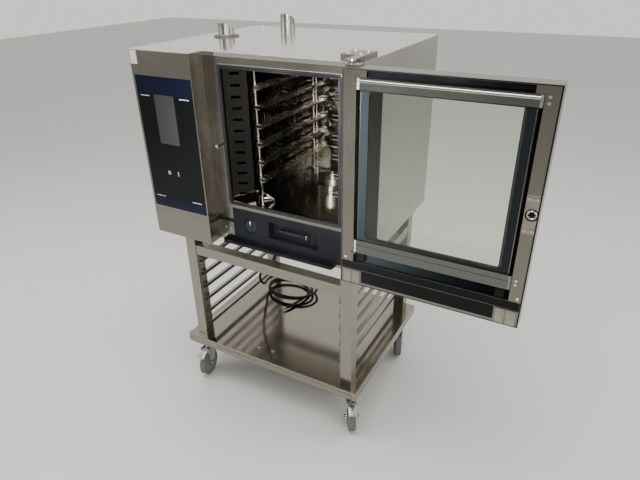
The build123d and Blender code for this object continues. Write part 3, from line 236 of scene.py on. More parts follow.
def clear_glass(name, tone):
    """Clear pane with a light haze of wiping marks."""
    shader = Shader(name, Transmission_Weight=1.0, IOR=1.45)
    wipes = shader.noise(1.0, 5.0, 0.7, (8, 8, 2.5), 1.2)
    shader.color(shader.mix(wipes, tone, shade(tone, 0.96)))
    shader.roughness(shader.ramp(wipes, 0.45, 0.8, 0.0, 0.05))
    return shader.material


def wool(name, tone):
    shader = Shader(name, Roughness=0.95)
    tufts = shader.noise(160.0, 6.0, 0.75, distort=1.5)
    shader.color(shader.mix(tufts, shade(tone, 0.6), shade(tone, 1.15)))
    shader.bump(tufts, 0.8, 0.003)
    return shader.material


MATS = {
    # One stainless steel in lit and shaded copies: painted light makes the top brightest and the sides and
    # rear lighter, painted shade darkens the front, control panel, door, stand and cavity liner.
    "front": brushed("steel_front_painted_shade", (0.27, 0.255, 0.222), "z", 0.25),
    "panel": brushed("steel_panel_painted_shade", (0.26, 0.243, 0.212), "x", 0.24),
    "side": brushed("steel_side_painted_light", (0.44, 0.425, 0.39), "z", 0.27),
    "top": brushed("steel_top_painted_light", (0.80, 0.79, 0.73), "x", 0.11, 0.04, 0.04),
    "rear": brushed("steel_rear_painted_light", (0.50, 0.49, 0.46), "x", 0.32),
    "post": brushed("steel_post", (0.30, 0.285, 0.248), "z", 0.25),
    "rail": brushed("steel_rail", (0.31, 0.292, 0.252), "x", 0.27),
    "shelf": brushed("steel_shelf", (0.30, 0.278, 0.235), "x", 0.15, 0.08, 0.08),
    "runner": brushed("steel_runner", (0.34, 0.325, 0.285), "y", 0.27),
    "door": brushed("steel_door_painted_shade", (0.235, 0.218, 0.19), "z", 0.25),
    "liner": brushed("steel_liner_painted_shade", (0.20, 0.19, 0.162), "x", 0.17, 0.06, 0.12),
    # Near-black steel for the suction panel deep in the cavity: painted shade.
    "suction": brushed("steel_suction_painted_shade", (0.022, 0.021, 0.019), "z", 0.22, 0.08, 0.2),
    "fan": brushed("steel_fan", (0.30, 0.29, 0.27), "y", 0.30),
    "rack": polished("polished_rack", (0.60, 0.57, 0.50), 0.15, 0.4, 14.0),
    "strainer": brushed("steel_strainer", (0.24, 0.228, 0.20), "x", 0.20, 0.06, 0.1),
    "chrome": polished("chrome_plate", (0.66, 0.66, 0.64), 0.10, 0.3),
    "zinc": polished("zinc_plate", (0.62, 0.62, 0.61), 0.20, 0.4, 22.0),
    "rotor": polished("rotor_steel", (0.30, 0.28, 0.25), 0.16, 0.5, 60.0),
    "rail_satin": brushed("satin_rail", (0.165, 0.168, 0.158), "x", 0.26, 0.06, 0.05, 0.05),
    # A brighter copy of the rail metal for the rails' rounded lip and the drawer bar's ring: painted
    # highlight.
    "rail_lip": polished("rail_lip_painted_highlight", (0.52, 0.51, 0.48), 0.14, 0.12),
    "latch": polished("latch_steel", (0.36, 0.34, 0.30), 0.20, 0.35, 30.0),
    "fascia": moulded("fascia_black", (0.004, 0.0045, 0.0065), 0.30, dust=0.05),
    "gutter": moulded("gutter_black", (0.004, 0.004, 0.005), 0.26, dust=0.04),
    "drawer": moulded("drawer_black", (0.005, 0.0055, 0.0065), 0.26, 500.0, 0.05),
    "knob": moulded("knob_grey", (0.010, 0.012, 0.014), 0.28, dust=0.06),
    "handle": moulded("handle_black", (0.02, 0.021, 0.023), 0.34),
    "gasket": moulded("silicone_seal", (0.006, 0.0065, 0.008), 0.44, 260.0, 0.10, 0.1),
    "collar": moulded("sealing_collar", (0.07, 0.07, 0.068), 0.5),
    "sheath": moulded("cord_sheath", (0.011, 0.011, 0.012), 0.38, 420.0, 0.3),
    "tyre": moulded("grey_tyre", (0.16, 0.16, 0.155), 0.62, 240.0, 0.6, 0.3),
    "hub": moulded("hub_grey", (0.22, 0.22, 0.212), 0.42),
    "board": moulded("board_green", (0.02, 0.12, 0.06), 0.4),
    "motor": moulded("motor_paint", (0.07, 0.07, 0.075), 0.42, 300.0),
    "heater": brushed("oxidised_tube", (0.16, 0.145, 0.13), "x", 0.42),
    "wool": wool("mineral_wool", (0.55, 0.50, 0.36)),
    "black_glass": printed_glass("black_glass", (0.003, 0.0034, 0.0045)),
    "navy": printed_glass("navy_glass", (0.0035, 0.006, 0.019)),
    "screen": printed_glass("display_glass", (0.042, 0.043, 0.047), 0.12),
    "white_print": printed_glass("white_print", (0.62, 0.64, 0.68)),
    "teal_print": printed_glass("teal_print", (0.012, 0.016, 0.019)),
    "brown_print": printed_glass("brown_print", (0.022, 0.021, 0.019)),
    "slate_print": printed_glass("slate_print", (0.030, 0.040, 0.048)),
    "sticker": moulded("blank_sticker", (0.72, 0.72, 0.70), 0.5, 900.0, 0.2),
    "glass": clear_glass("clear_glass", (0.90, 0.94, 0.89)),
}


def paint(node, name):
    """Puts one material on every slot of a CAD node."""
    data = frame["nodes"][node].data
    if not data.materials:
        data.materials.append(MATS[name])
    for index in range(len(data.materials)):
        data.materials[index] = MATS[name]


# ---- mesh helpers ----
def add_piece(name, mesh, material, body, smooth=False):
    if material:
        mesh.materials.append(MATS[material])
    for face in mesh.polygons:
        face.use_smooth = smooth
    piece = bpy.data.objects.new(name, mesh)
    bpy.context.scene.collection.objects.link(piece)
    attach(piece, body)
    return piece


def from_bmesh(name, bm, material, body, smooth=False):
    mesh = bpy.data.meshes.new(name)
    bmesh.ops.recalc_face_normals(bm, faces=bm.faces)
    bm.to_mesh(mesh)
    bm.free()
    return add_piece(name, mesh, material, body, smooth)


def add_block(bm, low, high, round_off=0.0, turn=None):
    """Adds a box with rounded edges between two corners; turn is a matrix applied after."""
    low, high = Vector(low), Vector(high)
    low, high = (Vector(min(a, b) for a, b in zip(low, high)), Vector(max(a, b) for a, b in zip(low, high)))
    size = high - low
    place = Matrix.Translation((low + high) / 2) @ Matrix.Diagonal((*size, 1))
    made = bmesh.ops.create_cube(bm, size=1.0, matrix=place)
    if round_off:
        edges = list({edge for vert in made["verts"] for edge in vert.link_edges})
        made = bmesh.ops.bevel(bm, geom=edges, offset=min(round_off, min(size) * 0.45), segments=3,
                               profile=0.5, affect="EDGES")
    if turn:
        bmesh.ops.transform(bm, matrix=turn, verts=made["verts"])


def block_piece(name, low, high, material, body, round_off=0.0006):
    bm = bmesh.new()
    add_block(bm, low, high, round_off)
    return from_bmesh(name, bm, material, body, True)


def side_frame(axis):
    """Two directions at right angles to an axis."""
    axis = Vector(axis).normalized()
    other = Vector((0, 0, 1)) if abs(axis.z) < 0.9 else Vector((1, 0, 0))
    first = axis.cross(other).normalized()
    return axis, first, axis.cross(first)


def add_lathe(bm, centre, axis, profile, steps=40):
    """Turns a profile of (radius, height) points, in mm, about an axis."""
    axis, first, second = side_frame(axis)
    rings = []
    for radius, height in profile:
        ring = []
        for step in range(steps):
            angle = 2 * math.pi * step / steps
            spoke = first * math.cos(angle) + second * math.sin(angle)
            ring.append(bm.verts.new(centre + axis * height * MM + spoke * max(radius, 0.01) * MM))
        rings.append(ring)
    for ring, following in zip(rings, rings[1:]):
        for step in range(steps):
            after = (step + 1) % steps
            bm.faces.new((ring[step], ring[after], following[after], following[step]))
    if profile[0] != profile[-1]:
        bm.faces.new(rings[0])
        bm.faces.new(rings[-1])
    else:
        bmesh.ops.remove_doubles(bm, verts=rings[0] + rings[-1], dist=1e-7)


def lathe_piece(name, centre, axis, profile, material, body, steps=40):
    bm = bmesh.new()
    add_lathe(bm, centre, axis, profile, steps)
    piece = from_bmesh(name, bm, material, body, True)
    soften(piece, 35)
    return piece


def soften(piece, degrees):
    """Smooth shading that keeps the edges sharper than an angle."""
    mesh = piece.data
    bm = bmesh.new()
    bm.from_mesh(mesh)
    for edge in bm.edges:
        if len(edge.link_faces) == 2 and edge.calc_face_angle(0) > math.radians(degrees):
            edge.smooth = False
    bm.to_mesh(mesh)
    bm.free()


def rounded_outline(x0, x1, z0, z1, radius, steps=6):
    """Points round a rectangle with rounded corners, as (x, z)."""
    points = []
    for cx, cz, start in ((x1 - radius, z1 - radius, 0), (x0 + radius, z1 - radius, 90),
                          (x0 + radius, z0 + radius, 180), (x1 - radius, z0 + radius, 270)):
        for step in range(steps + 1):
            angle = math.radians(start + 90 * step / steps)
            points.append((cx + radius * math.cos(angle), cz + radius * math.sin(angle)))
    return points


def ring_sheet(name, place, outer, inner, depth, material, body):
    """A flat ring between two rounded outlines; place maps (x, depth, z) to a point."""
    bm = bmesh.new()
    loops = []
    for outline, level in ((outer, 0), (inner, 0), (inner, depth), (outer, depth)):
        loops.append([bm.verts.new(place(x, level, z)) for x, z in outline])
    count = len(outer)
    for first, second in zip(loops, loops[1:] + loops[:1]):
        for step in range(count):
            after = (step + 1) % count
            bm.faces.new((first[step], first[after], second[after], second[step]))
    return from_bmesh(name, bm, material, body)


def panel_sheet(name, place, outline, depth, material, body):
    """A flat plate with the outline given."""
    bm = bmesh.new()
    front = [bm.verts.new(place(x, 0, z)) for x, z in outline]
    back = [bm.verts.new(place(x, depth, z)) for x, z in outline]
    bm.faces.new(front)
    bm.faces.new(back)
    for step in range(len(outline)):
        after = (step + 1) % len(outline)
        bm.faces.new((front[step], front[after], back[after], back[step]))
    return from_bmesh(name, bm, material, body)


def curve_piece(name, points, radius, material, body, cyclic=False):
    """A smooth round wire through control points."""
    data = bpy.data.curves.new(name, "CURVE")
    data.dimensions = "3D"
    data.bevel_depth = radius
    data.bevel_resolution = 4
    data.use_fill_caps = True
    spline = data.splines.new("NURBS")
    spline.points.add(len(points) - 1)
    for spot, point in zip(spline.points, points):
        spot.co = (*point, 1)
    spline.order_u = 3
    spline.use_endpoint_u = not cyclic
    spline.use_cyclic_u = cyclic
    spline.resolution_u = 8
    data.materials.append(MATS[material])
    piece = bpy.data.objects.new(name, data)
    bpy.context.scene.collection.objects.link(piece)
    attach(piece, body)
    return piece


# ---- power cord ----
CORD_D = 13.0
GLAND = (395, 262)
FEED = [
    (GLAND[0], GLAND[1], 767),
    (GLAND[0], GLAND[1], 715),
    (380, 275, 650),
    (340, 303, 588),
    (284, 338, 530),
    (228, 376, 474),
    (183, 412, 414),
    (160, 448, 356),
    (154, 487, 310),
]
TAIL = [(331, 476, 248), (319, 449, 247)]
COIL_CENTRE = (247, 590)
COIL_RADII = (133, 96)
COIL_TURNS = 2.75
COIL_START = math.radians(215)
CORE_RADIUS = 1.4
CORE_TONES = (
    (0.16, 0.07, 0.03),
    (0.02, 0.02, 0.02),
    (0.25, 0.25, 0.25),
    (0.03, 0.08, 0.35),
    (0.30, 0.42, 0.05),
)


def coil_turns():
    """Loose turns that start on top, wander and spread, and end on the shelf."""
    points = []
    steps = round(COIL_TURNS * 14)
    for step in range(1, steps):
        share = step / steps
        turn = share * COIL_TURNS
        angle = COIL_START - share * math.radians(215 + 38 + 360 * 2)
        size = 1.08 - 0.10 * turn + 0.03 * math.sin(5.1 * turn)
        x = COIL_CENTRE[0] + 9 * math.sin(2.1 * turn) + COIL_RADII[0] * size * math.cos(angle)
        y = COIL_CENTRE[1] + 7 * math.cos(1.7 * turn) + COIL_RADII[1] * size * math.sin(angle)
        z = 276 - 30 * share ** 0.8
        points.append((x, y, z))
    return points


def make_cord():
    route = [at(*point) for point in FEED + coil_turns() + TAIL]
    cord = curve_piece("power_cord", route, CORD_D / 2 * MM, "sheath", OVEN)
    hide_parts("cord_feed", "cord_coil", "cord_tail")
    return cord, route


def core_material(name, tone):
    MATS[name] = moulded(name, tone, 0.4, 500.0, 0.15)
    return name


def make_cord_end(route):
    """The cut end: the sheath's cut edge, five insulated cores and their ferrules."""
    tip = route[-1]
    along = (route[-1] - route[-2]).normalized()
    _, first, second = side_frame(along)
    sleeve = [(6.9, -2), (6.9, 9), (6.2, 10.5), (4.6, 11), (4.6, -2)]
    ferrule = [(1.9, -1), (1.9, 2), (1.2, 2.4), (1.2, 8), (0.7, 8.4)]
    pieces = [lathe_piece("cord_cut_sleeve", tip, along, sleeve, "sheath", OVEN, 28)]
    for index, tone in enumerate(CORE_TONES):
        angle = 2 * math.pi * index / len(CORE_TONES)
        spread = first * math.cos(angle) + second * math.sin(angle)
        reach = ((2, 2.8), (14, 3.2), (24 + 2 * (index % 2), 4.6))
        points = [tip + along * ahead * MM + spread * aside * MM for ahead, aside in reach]
        name = core_material(f"core_{index}", tone)
        pieces.append(curve_piece(f"cord_core_{index}", points, CORE_RADIUS * MM, name, OVEN))
        pieces.append(lathe_piece(f"cord_ferrule_{index}", points[-1], points[-1] - points[-2], ferrule,
                                  "zinc", OVEN, 14))
    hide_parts("cord_end")
    return pieces


def make_gland():
    """A ribbed nut and a tapered sleeve under the base."""
    x, y = GLAND
    profile = [(9, 0), (14, 0), (14, 7), (12.4, 8)]
    for rib in range(6):
        radius = 12 - rib * 0.75
        profile += [(radius, 10 + rib * 4.4), (radius, 12.2 + rib * 4.4), (radius - 1.3, 12.8 + rib * 4.4)]
    profile += [(7.4, 38), (6.6, 38)]
    gland = lathe_piece("cord_gland_sleeve", at(x, y, OVEN_Z / MM), (0, 0, -1), profile, "fascia", OVEN,
                        24)
    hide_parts("cord_gland")
    return gland


CORD, ROUTE = make_cord()
CORD_PIECES = make_cord_end(ROUTE)
GLAND_PIECE = make_gland()


# ---- CAD nodes ----
NODE_MATERIALS = {
    "panel": ["control_housing"],
    "front": ["front_frame", "hinge_brackets"],
    "side": ["left_side_panel", "right_side_panel"],
    "top": ["top_panel"],
    "rear": ["rear_panel", "base_tray", "boiler"],
    "post": ["stand_legs", "ladder_strips"],
    "rail": ["stand_rails"],
    "shelf": ["stand_shelf"],
    "runner": ["tray_runners"],
    "door": ["door_frame"],
    "liner": ["cavity_liner"],
    "suction": ["suction_panel"],
    "fan": ["fan_wheel", "vent_pipes"],
    "rack": ["left_rack", "right_rack"],
    "strainer": ["drain_strainer"],
    "chrome": ["strike_pin", "door_screws", "castor_plates"],
    "zinc": ["screw_heads"],
    "rotor": ["latch_rotor"],
    "rail_satin": ["inner_glass_rails"],
    "latch": ["latch_plate"],
    "fascia": ["lower_fascia"],
    "gutter": ["drip_gutter", "door_drip_channel"],
    "drawer": ["service_drawer"],
    "knob": ["selector_knob"],
    "handle": ["door_handle"],
    "collar": ["vent_collar"],
    "board": ["control_board"],
    "motor": ["fan_motor"],
    "heater": ["heating_element"],
    "wool": ["insulation"],
    "black_glass": ["control_glass"],
    "screen": ["touch_screen"],
    "glass": ["door_outer_glass", "inner_glass"],
}


def paint_nodes():
    for material, nodes in NODE_MATERIALS.items():
        for node in nodes:
            paint(node, material)
    for node in frame["nodes"]:
        if node.startswith("castor_fork") or node.startswith("brake_pedal"):
            paint(node, "chrome")
        if node.startswith("castor_wheel"):
            paint(node, "tyre")


def break_edges(node, width):
    """Breaks a sheet part's sharp edges so that they catch the light."""
    piece = frame["nodes"][node]
    weld = piece.modifiers.new("weld", "WELD")
    weld.merge_threshold = 1e-5
    bevel = piece.modifiers.new("edges", "BEVEL")
    bevel.width = width * MM
    bevel.segments = 2
    bevel.limit_method = "ANGLE"
    bevel.angle_limit = math.radians(50)
    bevel.harden_normals = True


EDGES = {
    "control_housing": 1.0,
    "top_panel": 0.6,
    "front_frame": 0.5,
    "left_side_panel": 0.6,
    "right_side_panel": 0.6,
    "rear_panel": 0.6,
    "stand_legs": 1.6,
    "stand_rails": 1.6,
    "stand_shelf": 1.0,
    "door_frame": 0.5,
    "inner_glass_rails": 1.5,
    "lower_fascia": 1.0,
    "drip_gutter": 1.0,
    "service_drawer": 1.2,
    "hinge_brackets": 0.8,
    "control_glass": 0.8,
    "door_drip_channel": 0.7,
    "door_outer_glass": 0.6,
    "ladder_strips": 0.4,
    "tray_runners": 0.4,
}
paint_nodes()
for edge_node, edge_width in EDGES.items():
    break_edges(edge_node, edge_width)


# ---- control panel ----
def on_panel(x, depth, z):
    """A point on the control glass: x in mm from its left edge, z above its lower edge."""
    return Vector((PANEL_LOW.x + x * MM, PANEL_LOW.y - depth * MM, PANEL_LOW.z + z * MM))


def panel_patch(name, x0, x1, z0, z1, material, radius=0.6, depth=0.25):
    outline = rounded_outline(x0, x1, z0, z1, radius)
    return panel_sheet(name, on_panel, outline, depth, material, OVEN)


TOP_BAND_H = 62
LOW_BAND_H = 34
SCREEN_X = (77, 169)
SCREEN_H = 178
DASH_LENGTH = 44


def make_control_panel():
    """Bands, screen, dashes and two plain marks on the glass, a blank label and the housing's fold."""
    wide = (PANEL_HIGH.x - PANEL_LOW.x) / MM
    tall = (PANEL_HIGH.z - PANEL_LOW.z) / MM
    panel_patch("panel_band_top", 1, wide - 1, tall - TOP_BAND_H, tall - 1, "navy", 3.5)
    panel_patch("panel_band_low", 1, wide - 1, 1, LOW_BAND_H, "navy", 3.5)
    screen_top = tall - TOP_BAND_H
    panel_patch("panel_screen", *SCREEN_X, screen_top - SCREEN_H, screen_top, "screen", 1.5)
    for index, x in enumerate((14, wide - 60)):
        panel_patch(f"panel_dash_top_{index}", x, x + DASH_LENGTH, tall - 70, tall - 67.5, "white_print")
        panel_patch(f"panel_dash_low_{index}", x, x + DASH_LENGTH, 42, 44.5, "white_print")
    ring = [rounded_outline(98 - r, 98 + r, 146 - r, 146 + r, r - 0.01) for r in (6.5, 4.6)]
    ring_sheet("panel_power_ring", on_panel, ring[0], ring[1], 0.25, "white_print", OVEN)
    panel_patch("panel_power_bar", 97, 99, 148, 157, "white_print")
    panel_patch("panel_usb_bar", 140, 143, 138, 156, "white_print", 1.2)
    low, high = HOUSING_LOW, HOUSING_HIGH

    def on_housing(x, depth, z):
        return Vector((low.x + x * MM, low.y - depth * MM, TOP_Z - z * MM))

    def behind_glass(x, depth, z):
        return on_panel(x, depth - 1.6, z)

    blank = rounded_outline(3, 34, 4, 50, 2.0)
    panel_sheet("blank_label", on_housing, blank, 0.25, "sticker", OVEN)
    rim = rounded_outline(-0.9, wide + 0.9, -0.9, tall + 0.9, 4.8)
    inner = rounded_outline(0.2, wide - 0.2, 0.2, tall - 0.2, 4.0)
    ring_sheet("panel_seal", behind_glass, rim, inner, 0.9, "gasket", OVEN)
    crease_y = (HOUSING_HIGH.y + HOUSING_LOW.y) / 2 + 4 * MM
    block_piece("housing_fold", (high.x - 0.3 * MM, crease_y, OVEN_Z + 118 * MM),
                (high.x + 0.5 * MM, crease_y + 1.6 * MM, TOP_Z - 16 * MM), "panel", OVEN, 0.0004)


make_control_panel()


# ---- door seal round the cavity ----
def swept_ring(name, outline_at, profile, material, body):
    """Sweeps a closed profile of (outward, forward) points, in mm, round a rounded rectangle."""
    bm = bmesh.new()
    rings = []
    for outward, forward in profile:
        rings.append([bm.verts.new(point) for point in outline_at(outward, forward)])
    count = len(rings[0])
    for ring, following in zip(rings, rings[1:] + rings[:1]):
        for step in range(count):
            after = (step + 1) % count
            bm.faces.new((ring[step], ring[after], following[after], following[step]))
    piece = from_bmesh(name, bm, material, body, True)
    soften(piece, 40)
    return piece


# points on the seal's front: mm inside its outline, and mm short of its full depth
SEAL_FRONT = [
    (0.8, 2.4),
    (2.2, 1.1),
    (4.2, 0.7),
    (5.6, 1.4),
    (6.2, 2.6),
    (7.2, 3.4),
    (9.0, 2.6),
    (11.0, 2.2),
    (11.8, 3.2),
]


def make_gasket():
    """A silicone seal with a hollow lip, standing proud of the face round the opening."""
    low, high = corners("door_gasket")
    x0, x1, z0, z1 = low.x / MM, high.x / MM, low.z / MM, high.z / MM
    back, front = high.y, low.y

    def outline_at(outward, forward):
        outline = rounded_outline(x0 - outward, x1 + outward, z0 - outward, z1 + outward, 9 + outward, 8)
        return [Vector((x * MM, back - forward * MM, z * MM)) for x, z in outline]

    depth = (back - front) / MM
    lip = [(-0.2, 0), (-0.2, 2.0)]
    lip += [(-outward, depth - drop) for outward, drop in SEAL_FRONT]
    lip += [(-11.6, 1.5), (-11.2, 0)]
    gasket = swept_ring("door_seal", outline_at, lip, "gasket", OVEN)
    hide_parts("door_gasket")
    trim = [(0.2, 2.1), (0.2, 3.0), (0.9, 3.4), (2.2, 2.9), (3.0, 2.1)]
    swept_ring("opening_trim", outline_at, trim, "front", OVEN)


make_gasket()


# ---- door ----
def door_layer(start):
    """Places (s, depth, z) on the door, with depths counted in mm from a level inside its outer face."""
    def place(s, depth, z):
        return on_door(s, start + depth, z)
    return place


def make_door_prints():
    """Printed borders on both panes, and the strips seen between them."""
    outer = rounded_outline(4, 551, 49, 713, 2)
    clear = rounded_outline(98, 470, 196, 668, 6)
    ring_sheet("outer_glass_print", door_layer(5.05), outer, clear, 0.25, "brown_print", DOOR)
    pane_low, pane_high = corners("inner_glass")
    inner_t = (PANE_HIGH.y - pane_low.y) / MM
    s0, s1 = (pane_low.x - PANE_LOW.x) / MM + 1, (pane_high.x - PANE_LOW.x) / MM + 1
    z0, z1 = (pane_low.z - OVEN_Z) / MM, (pane_high.z - OVEN_Z) / MM
    outer = rounded_outline(s0 + 0.5, s1 - 0.5, z0 + 0.5, z1 - 0.5, 3)
    clear = rounded_outline(s0 + 27, s1 - 24, z0 + 37, z1 - 18, 16)
    ring_sheet("inner_glass_print", door_layer(inner_t + 0.05), outer, clear, 0.2, "teal_print", GLASS)
    sill = rounded_outline(46, 514, 60, 186, 3)
    panel_sheet("sill_strip", door_layer(5.5), sill, 0.8, "slate_print", DOOR)
    for index, s in enumerate((52, 478)):
        block_piece(f"sill_stop_{index}", on_door(s, 40, 129), on_door(s + 26, 58, 160), "fascia", DOOR,
                    0.0015)
    # A black block inside the top air slot: painted shade.
    block_piece("air_slot_painted_shade", on_door(70, 46, 696), on_door(497, 49, 710), "fascia", DOOR,
                0.001)


def make_rail_details():
    """The rounded lip and end caps of the inner glass's rails, and their seals."""
    low, high = corners("inner_glass_rails")
    s0 = (low.x - PANE_LOW.x) / MM + 1
    s1 = (high.x - PANE_LOW.x) / MM + 1
    face_t = (PANE_HIGH.y - low.y) / MM
    span = s1 - s0 - 12
    bm = bmesh.new()
    add_lathe(bm, on_door(s0 + 6, face_t - 2.2, 684), (1, 0, 0),
              [(3.0, 0), (4.6, 0.8), (4.6, span - 0.8), (3.0, span)], 24)
    # The rounded lip is real; its brighter metal is a painted highlight along the top rail.
    lip = from_bmesh("top_rail_lip", bm, "rail_lip", GLASS, True)
    soften(lip, 40)
    for index, s in enumerate((s0 + 0.2, s1 - 8.2)):
        for level, (z0, z1) in enumerate(((661.5, 692.5), (162.5, 205.5))):
            block_piece(f"rail_cap_{index}_{level}", on_door(s, face_t - 14, z0),
                        on_door(s + 8, face_t + 0.3, z1), "hub", GLASS, 0.0012)
    for index, (z0, z1) in enumerate(((658.4, 661.2), (206.0, 208.8))):
        block_piece(f"pane_seal_{index}", on_door(s0 + 9, face_t - 12, z0), on_door(s1 - 9, face_t - 2.5, z1),
                    "gasket", GLASS, 0.001)
    for index, (s, width) in enumerate(((s0 + 9.0, 3), (s1 - 12.0, 3))):
        block_piece(f"pane_edge_{index}", on_door(s, face_t - 10, 209), on_door(s + width, face_t - 3.2, 658),
                    "rail_satin", GLASS, 0.0008)
    block_piece("bottom_rail_groove", on_door(s0 + 9, face_t - 0.2, 188),
                on_door(s1 - 9, face_t + 0.25, 189.4), "gasket", GLASS, 0.0002)


def make_latch_details():
    """The rotor's rim and teeth, a flat dark ring round it as painted shade of a recess, and the plate's end
    tabs and screws.
    """
    joint = JOINTS["latch_turn"]
    centre = Vector(joint["pos_m"])
    s = (centre.x - PANE_LOW.x) / MM + 1
    z = (centre.z - OVEN_Z) / MM
    low, _ = corners("latch_plate")
    face_t = (PANE_HIGH.y - low.y) / MM
    rim = [(12.9, -1), (12.9, 0.2), (12.2, 0.8), (10.2, 0.8), (9.7, 0.2), (9.7, -1), (12.9, -1)]
    lathe_piece("rotor_rim", on_door(s, face_t - 0.4, z), (0, -1, 0), rim, "chrome", "door_latch",
                36)
    bm = bmesh.new()
    for tooth in range(6):
        spin = Matrix.Rotation(math.radians(60 * tooth + 20), 4, "Y")
        turn = Matrix.Translation(on_door(s, face_t - 1, z)) @ spin
        add_block(bm, (6.9 * MM, 0, -1.6 * MM), (9.8 * MM, 7 * MM, 1.6 * MM), 0.0005, turn)
    from_bmesh("rotor_teeth", bm, "chrome", "door_latch", True)
    # A flat dark ring round the rotor: painted shade.
    shade_ring = [(13.8, 0), (13.8, 0.4), (17.0, 0.4), (17.0, 0), (13.8, 0)]
    lathe_piece("latch_painted_shade_ring", on_door(s, face_t, z), (0, -1, 0), shade_ring, "gasket", DOOR, 36)
    for index, (z0, z1) in enumerate(((z + 38, z + 50), (z - 50, z - 38))):
        block_piece(f"latch_tab_{index}", on_door(s - 17, face_t, z0), on_door(s + 14, face_t + 0.3, z1),
                    "latch", DOOR, 0.0006)
        for side in (-11, 8):
            screw_head(f"latch_screw_{index}_{side + 11}", on_door(s + side, face_t + 0.3, (z0 + z1) / 2),
                       (0, -1, 0), 3.0, DOOR, 0.4)


def screw_head(name, centre, axis, radius, body, height=1.6):
    """A domed head with a cross recess."""
    bm = bmesh.new()
    add_lathe(bm, centre, axis, [(radius, 0), (radius, height * 0.35), (radius * 0.8, height * 0.8),
                                 (radius * 0.45, height), (radius * 0.12, height * 0.45)], 20)
    head = from_bmesh(name, bm, "zinc", body, True)
    soften(head, 50)
    return head


def make_door_trim():
    """Dark lines round the inner face, plates over its lower corners, and the channel's bright line."""
    bm = bmesh.new()
    for s0, s1, z0, z1 in ((1.4, 4.2, 46, 716), (550.6, 554.2, 46, 716)):
        add_block(bm, on_door(s0, 61.0, z0), on_door(s1, 61.5, z1), 0.0002)
    for z0, z1 in ((45.6, 48.2), (713.6, 715.8)):
        add_block(bm, on_door(3, 61.0, z0), on_door(552, 61.5, z1), 0.0002)
    from_bmesh("door_edge_line", bm, "gasket", DOOR)
    for index, s in enumerate((10, 489)):
        block_piece(f"corner_plate_{index}", on_door(s, 62.8, 51), on_door(s + 25, 63.2, 96), "latch",
                    DOOR, 0.0008)
        block_piece(f"corner_cover_{index}", on_door(s + 30, 62.8, 51), on_door(s + 55, 63.4, 96), "latch",
                    DOOR, 0.0008)
    block_piece("drip_channel_line", on_door(8, 63.2, 101.5), on_door(546, 63.55, 103), "rail_satin", DOOR,
                0.0004)


make_door_prints()
make_rail_details()
make_latch_details()
make_door_trim()


# ---- oven face, top and inside ----
def make_screws():
    """Heads on the top panel's screws and on the bolts in the face's lower left corner."""
    top = TOP_Z / MM
    spots = [(x, 106) for x in (14, 118, 225, 283)] + [(x, 760) for x in (55, 392, 720, 805)]
    for index, (x, y) in enumerate(spots):
        screw_head(f"top_screw_{index}", at(x, y, top + 1.4), (0, 0, 1), 3.4, OVEN)
    for index, (x, z) in enumerate(((300, 56), (326, 56), (300, 24))):
        screw_head(f"face_bolt_{index}", at(x, 62.4, OVEN_Z / MM + z), (0, -1, 0), 4.4, OVEN, 0.9)


def make_corner_plate():
    """The small plate bolted on the face's lower left corner."""
    low = OVEN_Z / MM
    block_piece("face_corner_plate", at(286, 64.1, low + 12), at(338, 65.1, low + 72), "front", OVEN,
                0.0005)


def make_collar_lip():
    """A soft rolled edge on the vent's sealing collar and a weld ring on each pipe."""
    low, high = corners("vent_collar")
    centre = Vector(((low.x + high.x) / 2, (low.y + high.y) / 2, low.z))
    lip = [(32, 5.0), (40, 5.6), (46, 5.2), (49.4, 3.4), (49.4, 0.6), (48, 0.2), (32, 0.2), (32, 5.0)]
    weld = [(31, 5), (33.2, 5.2), (33.6, 6.2), (32.6, 7.2), (31, 7.6)]
    lathe_piece("collar_lip", centre, (0, 0, 1), lip, "collar", OVEN, 56)
    lathe_piece("collar_weld", centre, (0, 0, 1), weld, "fan", OVEN, 56)


def make_knob_details():
    """Grip ribs round the knob and a white strip on its face."""
    joint = JOINTS["knob_turn"]
    centre = Vector(joint["pos_m"])
    low = corners("selector_knob")[0]
    front = low.y - centre.y
    bm = bmesh.new()
    for index in range(24):
        angle = 2 * math.pi * index / 24
        turn = Matrix.Translation(centre) @ Matrix.Rotation(angle, 4, "Y")
        low_corner = (25.2 * MM, front + 3 * MM, -1.3 * MM)
        high_corner = (27.2 * MM, front + 16 * MM, 1.3 * MM)
        add_block(bm, low_corner, high_corner, 0.0005, turn)
    from_bmesh("knob_ribs", bm, "knob", "knob", True)
    block_piece("knob_white_strip", (centre.x - 1.2 * MM, low.y - 0.1 * MM, centre.z + 6 * MM),
                (centre.x + 1.2 * MM, low.y + 0.4 * MM, centre.z + 21 * MM), "white_print", "knob",
                0.0003)


def make_drawer_details():
    """A ring at the bar's end in the brighter rail-lip metal, a painted highlight, and ribs on the drawer's
    front.
    """
    low, high = corners("service_drawer")
    y = low.y + 9 * MM
    z = OVEN_Z + 86 * MM
    # The ring's bright metal is a painted highlight on the bar's end.
    lathe_piece("drawer_bar_highlight_ring", Vector((high.x - 47 * MM, y, z)), (1, 0, 0),
                [(9.0, 0), (9.5, 0.4), (9.5, 4.4), (9.0, 4.8), (9.0, 0)], "rail_lip", "drawer", 32)
    bm = bmesh.new()
    for index in range(7):
        x = low.x + (18 + index * 27) * MM
        low_corner = (x, low.y + 20.9 * MM, low.z + 4 * MM)
        high_corner = (x + 3 * MM, low.y + 22.4 * MM, high.z - 4 * MM)
        add_block(bm, low_corner, high_corner, 0.0006)
    from_bmesh("drawer_ribs", bm, "drawer", "drawer", True)


BEAD_HEIGHTS = (260, 420, 580)
RACK_LEVELS = 6
LOWEST_RUNNER_END = 240
RUNNER_END_PITCH = 68.5


